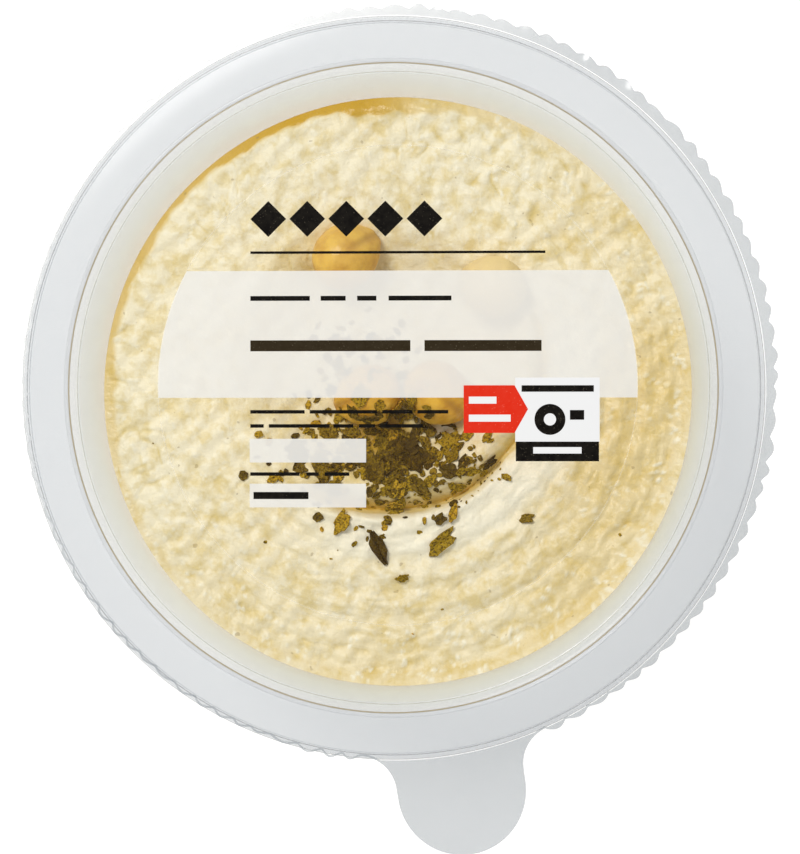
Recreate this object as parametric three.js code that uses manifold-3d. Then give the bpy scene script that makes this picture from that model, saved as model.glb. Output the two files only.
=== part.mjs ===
// A shut round tub of hummus: a thin clear plastic tub with a wide flange, filled with hummus that has
// a spooned well, whole chickpeas and chopped herbs on it, and closed by a clear peel film with a
// scalloped edge and a tear tab. Millimetres, +Z up, origin at the centre of the tub's flat base.
import * as THREE from "three";
import { mergeVertices } from "three/addons/utils/BufferGeometryUtils.js";
import Module from "manifold-3d";

const wasm = await Module();
wasm.setup();

const DEGREE = Math.PI / 180;

// The tub
const TUB_HEIGHT = 44; // from the base to the top of the flange
const WALL = 0.6;
const DRAFT = 15 * DEGREE; // how far the wall leans out from the vertical
const FLANGE_RADIUS = 58;
const FLANGE_INNER = 50.6; // the flat of the flange starts here
const LIP_DROP = 2.2; // the flange's outer edge is turned down by this
const LIP_THICK = 0.9;
const MOUTH_CORNER = 1.5; // radius from the flange into the wall
const FOOT_CORNER = 4.5; // outer radius from the base into the wall
const TUB_SIDES = 60;

// The hummus
const GAP = 0.3; // left between pieces that touch
const LEVEL = 34; // height of the hummus
const RINGS = 22; // the top is a mesh of rings, and ring k has 6 k points
const EDGE_FALL = 0.7; // the hummus is lower by this where it meets the wall
const EDGE_WIDTH = 2.2;
const WELL = { x: -1.5, y: 4.3, halfX: 25.2, halfY: 22.5, depth: 4.2 };
const LIP = { direction: -52 * DEGREE, rise: 1.5, crease: 1.1 };
const SWIRL = { pitch: 5.2, height: 0.42, start: 23, end: 42 };
const LUMPS = { height: 0.22, length: 5.4 };

// Each chickpea: its place, radius, the way its beak points, and how deep it is sunk
const CHICKPEAS = [
  { x: -7.8, y: 21.1, radius: 5.2, turn: 35, sunk: 2.2 },
  { x: 15.7, y: 16.1, radius: 5.0, turn: 160, sunk: 2.0 },
  { x: 6.6, y: -0.6, radius: 5.1, turn: -40, sunk: 1.6 },
  { x: -4.2, y: -1.0, radius: 5.0, turn: 200, sunk: 1.6 },
];
const CHICKPEA_SHAPE = { long: 1.06, wide: 0.97, high: 0.94, beak: 0.17, furrow: 0.06 };
const CHICKPEA_SEGMENTS = 18;

// The largest pieces of herb: x, y, length, width and turn in degrees
const LEAVES = [
  [-2.7, -25.1, 6.4, 2.5, -65],
  [7.3, -24.5, 6.2, 2.6, 48],
  [-8.4, -21.3, 4.0, 2.8, 60],
  [9.2, -19.8, 3.5, 1.5, 75],
  [20.9, -20.7, 2.7, 1.6, 15],
  [10.9, -11.6, 2.5, 1.7, 50],
  [11.4, -7.5, 2.4, 2.2, 20],
  [7.2, -20.7, 2.4, 1.8, 60],
  [1.2, -30.0, 2.2, 1.6, 10],
  [-0.9, -19.1, 2.2, 1.7, 80],
  [17.7, -14.0, 1.9, 1.3, -10],
  [-12.3, -20.4, 1.8, 1.5, 30],
];
// The smaller pieces lie in a heap beside the chickpeas and scattered to its left
const HERB_GROUPS = [
  { x: -0.8, y: -10.6, spreadX: 5.4, spreadY: 3.6, count: 26 },
  { x: -9.5, y: -12.5, spreadX: 7.0, spreadY: 4.5, count: 10 },
];
const FLAKE = { shortest: 1.3, longest: 2.8, stands: 0.45, sunk: 0.9, corners: 7, apart: 1.3 };
const HERB_SEED = 20261;

// The peel film
const FILM_THICK = 0.3;
const FILM_GAP = 0.1; // over the flange
const FILM = { x: 0.9, y: 0.7, radius: 59 };
const SCALLOPS = 96; // round the edge from one side of the tab to the other
const SCALLOP_DEPTH = 0.65;
const SCALLOP_POINTS = 4;
const TAB = { direction: -81 * DEGREE, centre: 64, radius: 10, fillet: 6, steps: 14 };

const step = (low, high, value) => THREE.MathUtils.smoothstep(value, low, high);
const bell = (value) => Math.exp(-value * value);

// The inner wall is a cone that touches the mouth's rounded corner
const mouthEnd = {
  r: FLANGE_INNER - MOUTH_CORNER * Math.cos(DRAFT),
  z: TUB_HEIGHT - MOUTH_CORNER + MOUTH_CORNER * Math.sin(DRAFT),
};
const innerRadius = (z) => mouthEnd.r - (mouthEnd.z - z) * Math.tan(DRAFT);
const outerRadius = (z) => innerRadius(z) + WALL / Math.cos(DRAFT);
const footArcEnd = FOOT_CORNER * (1 - Math.sin(DRAFT));
const footRadius = outerRadius(footArcEnd) - FOOT_CORNER * Math.cos(DRAFT);

// Points of an arc in the plane of radius and height
function arc(r, z, radius, from, to, steps) {
  const points = [];
  for (let i = 0; i <= steps; i += 1) {
    const angle = from + ((to - from) * i) / steps;
    points.push(new THREE.Vector2(r + radius * Math.cos(angle), z + radius * Math.sin(angle)));
  }
  return points;
}

// The tub's section runs up the outside, round the flange and down the inside
function tubGeometry() {
  const quarter = Math.PI / 2;
  const lipInner = FLANGE_RADIUS - LIP_THICK;
  const mouthZ = TUB_HEIGHT - MOUTH_CORNER;
  const section = [
    new THREE.Vector2(0, 0),
    ...arc(footRadius, FOOT_CORNER, FOOT_CORNER, -quarter, -DRAFT, 4),
    ...arc(FLANGE_INNER, mouthZ, MOUTH_CORNER - WALL, Math.PI - DRAFT, quarter, 2),
    new THREE.Vector2(lipInner, TUB_HEIGHT - WALL),
    new THREE.Vector2(lipInner, TUB_HEIGHT - LIP_DROP),
    new THREE.Vector2(FLANGE_RADIUS, TUB_HEIGHT - LIP_DROP),
    ...arc(lipInner, TUB_HEIGHT - LIP_THICK, LIP_THICK, 0, quarter, 3),
    ...arc(FLANGE_INNER, mouthZ, MOUTH_CORNER, quarter, Math.PI - DRAFT, 4),
    ...arc(footRadius, FOOT_CORNER, FOOT_CORNER - WALL, -DRAFT, -quarter, 4),
    new THREE.Vector2(0, WALL),
  ];
  return new THREE.LatheGeometry(section, TUB_SIDES).rotateX(quarter);
}

// Height of the hummus over its level: the well, its raised lip, the spoon's swirl and soft lumps
function relief(x, y) {
  const across = (x - WELL.x) / WELL.halfX;
  const along = (y - WELL.y) / WELL.halfY;
  const reach = Math.hypot(across, along);
  const turn = Math.atan2(along, across);
  const facing = Math.cos(turn - LIP.direction);
  const lipShare = step(0.1, 0.75, facing);
  const bowl = -WELL.depth * (1 - step(0.52, 1.04, reach)) * (1 - 0.35 * lipShare);
  const lip = LIP.rise * bell((reach - 0.86) / 0.13) - LIP.crease * bell((reach - 1.03) / 0.07);
  const radius = Math.hypot(x, y);
  const ridge = Math.cos(2 * Math.PI * (radius / SWIRL.pitch) - turn);
  const zone = step(SWIRL.start, SWIRL.start + 4, radius) * (1 - step(SWIRL.end - 4, SWIRL.end, radius));
  const swirl = SWIRL.height * ridge * zone * step(-0.4, 0.6, facing);
  const wave = (2 * Math.PI) / LUMPS.length;
  const lumps = Math.sin(wave * x + 1.3 * Math.sin(0.4 * y)) * Math.sin(wave * 0.93 * y + 0.9 * Math.sin(0.5 * x));
  return bowl + lipShare * lip + swirl + LUMPS.height * lumps;
}

function hummusHeight(x, y) {
  const wall = innerRadius(LEVEL) - GAP;
  const edge = -EDGE_FALL * step(wall - EDGE_WIDTH, wall, Math.hypot(x, y));
  return LEVEL + relief(x, y) + edge;
}

// A closed mesh as a solid that can be joined and cut
function solidOf(geometry) {
  const bare = geometry.clone();
  bare.deleteAttribute("normal");
  bare.deleteAttribute("uv");
  const merged = mergeVertices(bare, 1e-4);
  const vertProperties = new Float32Array(merged.attributes.position.array);
  const triVerts = new Uint32Array(merged.index.array);
  return new wasm.Manifold(new wasm.Mesh({ numProp: 3, vertProperties, triVerts }));
}

function geometryOf(solid) {
  const mesh = solid.getMesh();
  const geometry = new THREE.BufferGeometry();
  geometry.setAttribute("position", new THREE.BufferAttribute(mesh.vertProperties, 3));
  geometry.setIndex(new THREE.BufferAttribute(mesh.triVerts, 1));
  geometry.computeVertexNormals();
  return geometry;
}

// The bare filling: a relief of rings on top, a wall that follows the tub, and a flat underside
function fillingGeometry() {
  const points = [0, 0, hummusHeight(0, 0)];
  const faces = [];
  const ringStart = (k) => (k === 0 ? 0 : 1 + 3 * k * (k - 1));
  const ringPoint = (k, i) => (k === 0 ? 0 : ringStart(k) + (i % (6 * k)));
  const wallRadius = innerRadius(LEVEL) - GAP;
  for (let k = 1; k <= RINGS; k += 1) {
    for (let i = 0; i < 6 * k; i += 1) {
      const angle = (2 * Math.PI * i) / (6 * k);
      const nominal = (wallRadius * k) / RINGS;
      const z = hummusHeight(nominal * Math.cos(angle), nominal * Math.sin(angle));
      const r = k === RINGS ? innerRadius(z) - GAP : nominal;
      points.push(r * Math.cos(angle), r * Math.sin(angle), z);
    }
    for (let sector = 0; sector < 6; sector += 1) {
      for (let i = 0; i < k; i += 1) {
        const outer = sector * k + i;
        const inner = sector * (k - 1) + i;
        faces.push(ringPoint(k - 1, inner), ringPoint(k, outer), ringPoint(k, outer + 1));
        if (i < k - 1) {
          faces.push(ringPoint(k - 1, inner), ringPoint(k, outer + 1), ringPoint(k - 1, inner + 1));
        }
      }
    }
  }
  // The wall goes down in rings that copy the last one, and ends in a point at the underside's middle
  const sides = 6 * RINGS;
  const foot = arc(footRadius, FOOT_CORNER, FOOT_CORNER - WALL - GAP, -DRAFT, -Math.PI / 2, 3);
  let above = ringStart(RINGS);
  for (const { x: r, y: z } of foot) {
    const below = points.length / 3;
    for (let i = 0; i < sides; i += 1) {
      const angle = (2 * Math.PI * i) / sides;
      points.push(r * Math.cos(angle), r * Math.sin(angle), z);
    }
    for (let i = 0; i < sides; i += 1) {
      const next = (i + 1) % sides;
      faces.push(above + i, below + i, above + next);
      faces.push(above + next, below + i, below + next);
    }
    above = below;
  }
  const centre = points.length / 3;
  points.push(0, 0, WALL + GAP);
  for (let i = 0; i < sides; i += 1) {
    faces.push(centre, above + ((i + 1) % sides), above + i);
  }
  const geometry = new THREE.BufferGeometry();
  geometry.setAttribute("position", new THREE.Float32BufferAttribute(points, 3));
  geometry.setIndex(faces);
  return geometry;
}

// A chickpea has a beak at one end and a shallow furrow that runs back from it
function chickpeaGeometry(radius) {
  const geometry = new THREE.SphereGeometry(1, CHICKPEA_SEGMENTS, 12).rotateX(Math.PI / 2);
  const place = geometry.attributes.position;
  const { long, wide, high, beak, furrow } = CHICKPEA_SHAPE;
  for (let i = 0; i < place.count; i += 1) {
    const p = new THREE.Vector3().fromBufferAttribute(place, i);
    const toBeak = Math.acos(THREE.MathUtils.clamp(p.x, -1, 1));
    const grown = 1 + beak * bell(toBeak / 0.42) - furrow * bell(p.y / 0.22) * step(-0.6, 0.5, p.x);
    place.setXYZ(i, p.x * long * grown * radius, p.y * wide * grown * radius, p.z * high * grown * radius);
  }
  return geometry;
}

function placeChickpea(object, pea) {
  const z = hummusHeight(pea.x, pea.y) + pea.radius * CHICKPEA_SHAPE.high - pea.sunk;
  object.position.set(pea.x, pea.y, z);
  object.rotation.set(0, 0.25, pea.turn * DEGREE, "ZYX");
  object.updateMatrix();
  return object;
}

// The same draws in the same order each time
function drawsFrom(seed) {
  let state = seed;
  return () => {
    state = (state * 16807) % 2147483647;
    return state / 2147483647;
  };
}

// One flake is a thin plate with an uneven outline, laid along the slope of the hummus
function flakeSolid([x, y, length, width, turn], draw) {
  const outline = [];
  for (let i = 0; i < FLAKE.corners; i += 1) {
    const angle = (2 * Math.PI * i) / FLAKE.corners;
    const reach = 0.38 + 0.24 * draw();
    outline.push(new THREE.Vector2(length * reach * Math.cos(angle), width * reach * Math.sin(angle)));
  }
  const depth = FLAKE.stands + FLAKE.sunk;
  const plate = new THREE.ExtrudeGeometry(new THREE.Shape(outline), { depth, bevelEnabled: false });
  plate.translate(0, 0, -FLAKE.sunk).rotateZ(turn * DEGREE);
  const reach = 0.8;
  const slopeX = (hummusHeight(x + reach, y) - hummusHeight(x - reach, y)) / (2 * reach);
  const slopeY = (hummusHeight(x, y + reach) - hummusHeight(x, y - reach)) / (2 * reach);
  const up = new THREE.Vector3(-slopeX, -slopeY, 1).normalize();
  plate.applyQuaternion(new THREE.Quaternion().setFromUnitVectors(new THREE.Vector3(0, 0, 1), up));
  return solidOf(plate.translate(x, y, hummusHeight(x, y)));
}

// The larger leaves first, then the groups. A flake keeps clear of chickpeas and of other flakes
function herbFlakes() {
  const draw = drawsFrom(HERB_SEED);
  const laid = [...LEAVES];
  const isFree = (x, y, length) => {
    const clearOf = (px, py, distance) => Math.hypot(x - px, y - py) > distance;
    const offPeas = CHICKPEAS.every((pea) => clearOf(pea.x, pea.y, pea.radius * 1.2 + GAP + length / 2));
    return offPeas && laid.every(([px, py, other]) => clearOf(px, py, FLAKE.apart + other / 4));
  };
  for (const group of HERB_GROUPS) {
    let left = group.count;
    while (left > 0) {
      const away = Math.sqrt(-2 * Math.log(1 - draw()));
      const angle = 2 * Math.PI * draw();
      const x = group.x + group.spreadX * away * Math.cos(angle);
      const y = group.y + group.spreadY * away * Math.sin(angle);
      const length = FLAKE.shortest + (FLAKE.longest - FLAKE.shortest) * draw() ** 2;
      const turn = 180 * draw();
      if (away < 2.2 && isFree(x, y, length)) {
        laid.push([x, y, length, length * 0.7, turn]);
        left -= 1;
      }
    }
  }
  return laid.map((flake) => flakeSolid(flake, draw));
}

function hummusGeometry() {
  let solid = solidOf(fillingGeometry());
  for (const flake of herbFlakes()) {
    solid = solid.add(flake);
  }
  for (const pea of CHICKPEAS) {
    const room = placeChickpea(new THREE.Object3D(), pea);
    const grown = chickpeaGeometry(pea.radius + GAP).applyMatrix4(room.matrix);
    solid = solid.subtract(solidOf(grown));
  }
  return geometryOf(solid);
}

// The film's outline: scallops round the edge, a hollow fillet, the tab's round end, and a fillet
function filmGeometry() {
  const notch = FILM.radius - SCALLOP_DEPTH;
  const filletV = TAB.radius + TAB.fillet;
  const filletU = Math.sqrt((notch + TAB.fillet) ** 2 - filletV ** 2);
  const halfAngle = Math.atan2(filletV, filletU);
  const outline = [];
  const count = SCALLOPS * SCALLOP_POINTS;
  for (let i = 0; i < count; i += 1) {
    const angle = halfAngle + ((2 * Math.PI - 2 * halfAngle) * i) / count;
    const lobe = Math.abs(Math.sin((Math.PI * i) / SCALLOP_POINTS));
    const radius = notch + SCALLOP_DEPTH * lobe;
    outline.push(new THREE.Vector2(radius * Math.cos(angle), radius * Math.sin(angle)));
  }
  const hollow = arc(filletU, -filletV, TAB.fillet, Math.PI - halfAngle, Math.PI / 2, 5);
  const end = arc(TAB.centre, 0, TAB.radius, -Math.PI / 2, Math.PI / 2, TAB.steps);
  const back = hollow.map((p) => new THREE.Vector2(p.x, -p.y)).reverse();
  outline.push(...hollow, ...end, ...back.slice(0, -1));
  const shape = new THREE.Shape(outline);
  const plate = new THREE.ExtrudeGeometry(shape, { depth: FILM_THICK, bevelEnabled: false });
  return plate.rotateZ(TAB.direction);
}

const materials = {
  tub: new THREE.MeshStandardMaterial({ color: 0xe3e6e6, roughness: 0.25, metalness: 0 }),
  hummus: new THREE.MeshStandardMaterial({ color: 0xecdfb6, roughness: 0.6, metalness: 0 }),
  chickpea: new THREE.MeshStandardMaterial({ color: 0xd3a84a, roughness: 0.45, metalness: 0 }),
  film: new THREE.MeshStandardMaterial({ color: 0xf2f4f4, roughness: 0.15, metalness: 0 }),
};

function named(name, geometry, material) {
  const mesh = new THREE.Mesh(geometry, material.clone());
  mesh.name = name;
  return mesh;
}

const tubOfHummus = new THREE.Group();
tubOfHummus.add(named("tub", tubGeometry(), materials.tub));
tubOfHummus.add(named("hummus", hummusGeometry(), materials.hummus));
CHICKPEAS.forEach((pea, i) => {
  const mesh = named(`chickpea_${i + 1}`, chickpeaGeometry(pea.radius), materials.chickpea);
  tubOfHummus.add(placeChickpea(mesh, pea));
});
const film = named("lid_film", filmGeometry(), materials.film);
film.position.set(FILM.x, FILM.y, TUB_HEIGHT + FILM_GAP);
tubOfHummus.add(film);

export default tubOfHummus;
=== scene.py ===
# %% [markdown]
# # A tub of hummus under its clear film
# The object is a shut plastic tub of hummus, seen from straight above through a printed peel film. The
# solids with their real sizes are already made. This script dresses them: every visible surface is
# modelled again finely, in the same place, and gets its finish. It begins by loading the solids.

# %% Load the solids
import math

import bpy
import numpy as np
from mathutils import Matrix, Vector, noise


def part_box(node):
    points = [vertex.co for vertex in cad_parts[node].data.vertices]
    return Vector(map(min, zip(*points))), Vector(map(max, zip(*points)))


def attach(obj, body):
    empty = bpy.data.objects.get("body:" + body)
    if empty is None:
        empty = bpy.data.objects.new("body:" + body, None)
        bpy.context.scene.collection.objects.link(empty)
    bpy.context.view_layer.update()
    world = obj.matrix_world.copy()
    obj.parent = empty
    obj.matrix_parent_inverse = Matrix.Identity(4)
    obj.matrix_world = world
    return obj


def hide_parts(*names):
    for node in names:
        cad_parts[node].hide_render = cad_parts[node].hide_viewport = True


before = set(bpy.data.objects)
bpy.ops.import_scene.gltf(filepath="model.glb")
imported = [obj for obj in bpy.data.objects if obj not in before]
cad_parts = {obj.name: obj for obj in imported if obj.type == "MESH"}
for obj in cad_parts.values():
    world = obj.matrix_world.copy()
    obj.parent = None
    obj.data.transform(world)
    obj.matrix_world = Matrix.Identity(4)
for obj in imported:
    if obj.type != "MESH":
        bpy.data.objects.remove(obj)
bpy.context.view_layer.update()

MM = 0.001
print("solids:", sorted(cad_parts))

# %% [markdown]
# ## The camera
# The photographer stood the tub under the camera, a little off its middle, so the hummus, which lies
# deeper than the film, shows slightly to one side. A long lens half a metre up gives the same flat
# view. The picture is 800 by 854 pixels, and a pixel is 0.156 mm wide at the height of the film.

# %% Set the camera over the tub
PICTURE = (800, 854)
FLANGE_ACROSS_PX = 745
FLANGE_MIDDLE_PX = (393.4, 387.7)
FLANGE_RADIUS = 58.0
PIXEL = 2 * FLANGE_RADIUS / FLANGE_ACROSS_PX
CAMERA_RISE = 480.0
CAMERA_OFF = (25.5, -10.0)
SENSOR = 36.0


def on_film(px, py):
    """The place in mm, at the film's height, of a pixel of the picture."""
    return (px - FLANGE_MIDDLE_PX[0]) * PIXEL, (FLANGE_MIDDLE_PX[1] - py) * PIXEL


FILM_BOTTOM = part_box("lid_film")[0][2] / MM
AIM_SHIFT = (0.27, -0.05)  # a slanted look moves the circle's middle by this
aim_x, aim_y = on_film(PICTURE[0] / 2, PICTURE[1] / 2)
aim = Vector((aim_x + AIM_SHIFT[0], aim_y + AIM_SHIFT[1], FILM_BOTTOM)) * MM
eye = Vector((CAMERA_OFF[0], CAMERA_OFF[1], FILM_BOTTOM + CAMERA_RISE)) * MM
bpy.ops.object.select_all(action="DESELECT")
back = (eye - aim).normalized()
right = Vector((0, 1, 0)).cross(back).normalized()
facing_down = Matrix((right, back.cross(right), back)).transposed()
bpy.ops.object.camera_add(location=eye, rotation=facing_down.to_euler())
camera = bpy.context.object
camera.name = "camera_above"
camera.data.sensor_width = SENSOR
camera.data.lens = SENSOR * (eye - aim).length / (PICTURE[1] * PIXEL * MM)
camera.data.clip_start = 0.01
bpy.context.scene.camera = camera
print("lens", round(camera.data.lens, 1), "mm")

# %% [markdown]
# ## Light and floor
# The print's shadow on the hummus falls down and to the right, so the main light stands up and to the
# left, about 30 degrees off the vertical, and is soft. A bright surround fills the shadows. The floor
# is a plain pale board that also glows a little, as a light table does, because the clear plastic
# takes its brightness from what lies behind it.

# %% Light the set and lay the floor
KEY_AWAY = 1.0
KEY_LEAN = math.radians(30)
KEY_TURN = math.radians(128)  # from +X, so the light comes from the upper left
KEY_SIZE = 0.35
KEY_POWER = 5.15
SURROUND = 0.53
FLOOR_GLOW = 0.76


def look_at_tub(place):
    return (Vector((0, 0, 0.03)) - place).to_track_quat("-Z", "Y").to_euler()


key_place = KEY_AWAY * Vector((
    math.sin(KEY_LEAN) * math.cos(KEY_TURN),
    math.sin(KEY_LEAN) * math.sin(KEY_TURN),
    math.cos(KEY_LEAN),
))
bpy.ops.object.light_add(type="AREA", location=key_place, rotation=look_at_tub(key_place))
key = bpy.context.object
key.name = "key_light"
key.data.shape = "DISK"
key.data.size = KEY_SIZE
key.data.energy = KEY_POWER
key.data.color = (1.0, 0.985, 0.96)

surround = bpy.data.worlds.new("surround")
bpy.context.scene.world = surround
surround.use_nodes = True
sky = surround.node_tree.nodes["Background"]
sky.inputs["Color"].default_value = (0.97, 0.985, 1.0, 1)
sky.inputs["Strength"].default_value = SURROUND

bpy.context.scene.view_settings.view_transform = "Standard"
bpy.context.scene.view_settings.look = "None"
bpy.context.scene.cycles.transparent_max_bounces = 24
bpy.context.scene.cycles.max_bounces = 5
bpy.context.scene.cycles.diffuse_bounces = 3
bpy.context.scene.cycles.glossy_bounces = 2

bpy.ops.mesh.primitive_plane_add(size=24.0, location=(0, 0, -0.0002))
floor = bpy.context.object
floor.name = "floor"
pale = bpy.data.materials.new("pale_board")
pale.use_nodes = True
board = pale.node_tree.nodes["Principled BSDF"]
board.inputs["Base Color"].default_value = (0.5, 0.5, 0.5, 1)
board.inputs["Roughness"].default_value = 0.8
board.inputs["Emission Color"].default_value = (1, 1, 1, 1)
board.inputs["Emission Strength"].default_value = FLOOR_GLOW
floor.data.materials.append(pale)
print("key light at", [round(v, 2) for v in key_place])

# %% [markdown]
# ## Small helpers
# Every piece goes through the same few steps. It is modelled with its object at the origin, its mesh
# points are read or moved as one block of numbers, it gets a material, and it is tied to the solid
# that it stands for. Each of these is a short function, so that the cells below stay about the food.

# %% Define the helpers
NO_SHADOW = (  # clear pieces and flat ink, through or past which the light goes on
    "clear_tub", "mouth_painted_line", "wall_painted_line", "seal_bead", "lip_painted_lines", "peel_film", "loose_film_edge",
    "varnish_line", "white_ink", "black_ink", "brown_ink", "red_ink", "block_white_ink",
)


def deselect_all():
    bpy.ops.object.select_all(action="DESELECT")


def select_only(obj):
    """Makes obj the only selected and the active object."""
    deselect_all()
    obj.select_set(True)
    bpy.context.view_layer.objects.active = obj


def start_editing(select=None):
    """Goes into edit mode. SELECT selects all of the mesh there, and DESELECT nothing."""
    bpy.ops.object.mode_set(mode="EDIT")
    if select:
        bpy.ops.mesh.select_all(action=select)


def stop_editing():
    bpy.ops.object.mode_set(mode="OBJECT")


def points_of(obj):
    """The mesh's points in mm, one row each."""
    flat = np.empty(len(obj.data.vertices) * 3)
    obj.data.vertices.foreach_get("co", flat)
    return flat.reshape(-1, 3) / MM


def set_points(obj, points):
    """Moves the mesh's points to these places in mm."""
    obj.data.vertices.foreach_set("co", (points * MM).ravel())
    obj.data.update()


def keep_number(obj, name, values):
    """Stores one number for each mesh point, which a material can read by its name."""
    attribute = obj.data.attributes.new(name, "FLOAT", "POINT")
    attribute.data.foreach_set("value", np.asarray(values, dtype=np.float32))


def smoothstep(low_edge, high_edge, value):
    """Goes smoothly from 0 at the low edge to 1 at the high edge."""
    t = np.clip((value - low_edge) / (high_edge - low_edge), 0, 1)
    return t * t * (3 - 2 * t)


def bell(value):
    """A hump: 1 at zero, and almost 0 from 2 on."""
    return np.exp(-value * value)


def finish_piece(obj, name, material, stands_for=(), sharp=math.radians(40)):
    """Names the piece, gives it its material, and ties it to the tub."""
    obj.visible_shadow = name not in NO_SHADOW
    obj.name = name
    obj.data.name = name
    obj.data.materials.clear()
    obj.data.materials.append(material)
    select_only(obj)
    bpy.ops.object.shade_smooth_by_angle(angle=sharp)
    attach(obj, "root")
    if stands_for:
        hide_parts(*stands_for)
    print(name, len(obj.data.polygons), "faces")
    return obj


def new_material(name, **values):
    """A material and its Principled shader. Each value goes to the input of its name."""
    material = bpy.data.materials.new(name)
    material.use_nodes = True
    shader = material.node_tree.nodes["Principled BSDF"]
    for socket, value in values.items():
        shader.inputs[socket.replace("_", " ")].default_value = value
    return material, shader


def arc(r, z, radius, start, end, steps):
    """Points of an arc in the plane of radius and height."""
    turns = np.linspace(start, end, steps + 1)
    return [(r + radius * math.cos(t), z + radius * math.sin(t)) for t in turns]


def spin_section(section, steps):
    """Draws a section by extruding one vertex from point to point, and spins it round the middle."""
    deselect_all()
    bpy.ops.mesh.primitive_plane_add(size=MM)
    start_editing("SELECT")
    bpy.ops.mesh.merge(type="CENTER")
    here = Vector((0, 0, 0))
    for r, z in section:
        there = Vector((r, 0, z)) * MM
        bpy.ops.mesh.extrude_vertices_move(TRANSFORM_OT_translate={"value": there - here})
        here = there
    bpy.ops.mesh.select_all(action="SELECT")
    bpy.ops.mesh.remove_doubles(threshold=1e-7)
    bpy.ops.mesh.select_all(action="SELECT")
    bpy.ops.mesh.spin(steps=steps, angle=2 * math.pi, center=(0, 0, 0), axis=(0, 0, 1))
    bpy.ops.mesh.select_all(action="SELECT")
    bpy.ops.mesh.remove_doubles(threshold=2e-6)
    bpy.ops.mesh.normals_make_consistent(inside=False)
    stop_editing()
    return bpy.context.object


print("pieces without a shadow:", len(NO_SHADOW))

# %% [markdown]
# A material is a small tree of nodes. The next functions each add one kind of node and return the
# socket that carries its result, so that a finish can be read line by line, like a recipe.

# %% Define the helpers for materials
def put_in(tree, value, socket):
    """Links a socket to another, or sets it to a plain value."""
    if hasattr(value, "links"):
        tree.links.new(value, socket)
    else:
        socket.default_value = value


def mix_colours(tree, factor, first, second):
    """A colour mix node. Each argument is a socket or a plain value."""
    node = tree.nodes.new("ShaderNodeMix")
    node.data_type = "RGBA"
    put_in(tree, factor, node.inputs[0])
    put_in(tree, first, node.inputs[6])
    put_in(tree, second, node.inputs[7])
    return node.outputs[2]


def add_noise(tree, vector, scale, detail=3.0, rough=0.55):
    node = tree.nodes.new("ShaderNodeTexNoise")
    node.inputs["Scale"].default_value = scale
    node.inputs["Detail"].default_value = detail
    node.inputs["Roughness"].default_value = rough
    tree.links.new(vector, node.inputs["Vector"])
    return node.outputs["Fac"]


def map_range(tree, value, from_low, from_high, to_low=0.0, to_high=1.0):
    node = tree.nodes.new("ShaderNodeMapRange")
    node.inputs["From Min"].default_value = from_low
    node.inputs["From Max"].default_value = from_high
    node.inputs["To Min"].default_value = to_low
    node.inputs["To Max"].default_value = to_high
    tree.links.new(value, node.inputs["Value"])
    return node.outputs["Result"]


def do_math(tree, operation, first, second):
    """A math node. Each argument is a socket or a plain number."""
    node = tree.nodes.new("ShaderNodeMath")
    node.operation = operation
    put_in(tree, first, node.inputs[0])
    put_in(tree, second, node.inputs[1])
    return node.outputs["Value"]


def place_of(tree):
    """The Object coordinates."""
    return tree.nodes.new("ShaderNodeTexCoord").outputs["Object"]


def stored_number(tree, name):
    """The number that keep_number stored under this name."""
    node = tree.nodes.new("ShaderNodeAttribute")
    node.attribute_name = name
    return node.outputs["Fac"]


def vector_math(tree, operation, first, second=None):
    """A vector math node. Each argument is a socket or a plain vector."""
    node = tree.nodes.new("ShaderNodeVectorMath")
    node.operation = operation
    put_in(tree, first, node.inputs[0])
    if second is not None:
        put_in(tree, second, node.inputs[1])
    return node.outputs["Value" if operation in ("LENGTH", "DOT_PRODUCT") else "Vector"]


def bent_place(tree, place, scale, amount):
    """Object coordinates pushed about by noise, so that cells aren't round."""
    push = tree.nodes.new("ShaderNodeTexNoise")
    push.inputs["Scale"].default_value = scale
    tree.links.new(place, push.inputs["Vector"])
    centred = vector_math(tree, "SUBTRACT", push.outputs["Color"], (0.5, 0.5, 0.5))
    scaled = vector_math(tree, "MULTIPLY", centred, (amount, amount, amount))
    return vector_math(tree, "ADD", place, scaled)


def add_bump(tree, height, distance, strength):
    """A bump from a socket's values, which stand for heights up to the distance in metres."""
    node = tree.nodes.new("ShaderNodeBump")
    node.inputs["Distance"].default_value = distance
    node.inputs["Strength"].default_value = strength
    tree.links.new(height, node.inputs["Height"])
    return node.outputs["Normal"]


print("render engine:", bpy.context.scene.render.engine)

# %% [markdown]
# ## The tub
# The real tub is pressed from a sheet of clear polypropylene about half a millimetre thick. It has a
# flat foot, a leaning wall, a small ledge where the wall meets the wide flange, and an outer edge that
# is turned down for stiffness. It could be a cylinder with loops cut into it, but its section is what
# a designer would draw, so the section is drawn once and spun round.

# %% Spin the tub
TUB_HEIGHT = FILM_BOTTOM - 0.1
WALL = 0.6
DRAFT = math.radians(15)
FLANGE_INNER = 50.6
LIP_DROP = 2.2
LIP_THICK = 0.9
MOUTH_CORNER = 1.5
FOOT_CORNER = 4.5
LEDGE_DROP = 0.95
RIM_CORNER = 0.8
QUARTER = math.pi / 2

mouth_r = FLANGE_INNER - MOUTH_CORNER * math.cos(DRAFT)
mouth_z = TUB_HEIGHT - MOUTH_CORNER + MOUTH_CORNER * math.sin(DRAFT)


def inner_radius(z):
    """The inner wall's radius at a height, both in mm."""
    return mouth_r - (mouth_z - z) * math.tan(DRAFT)


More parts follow.
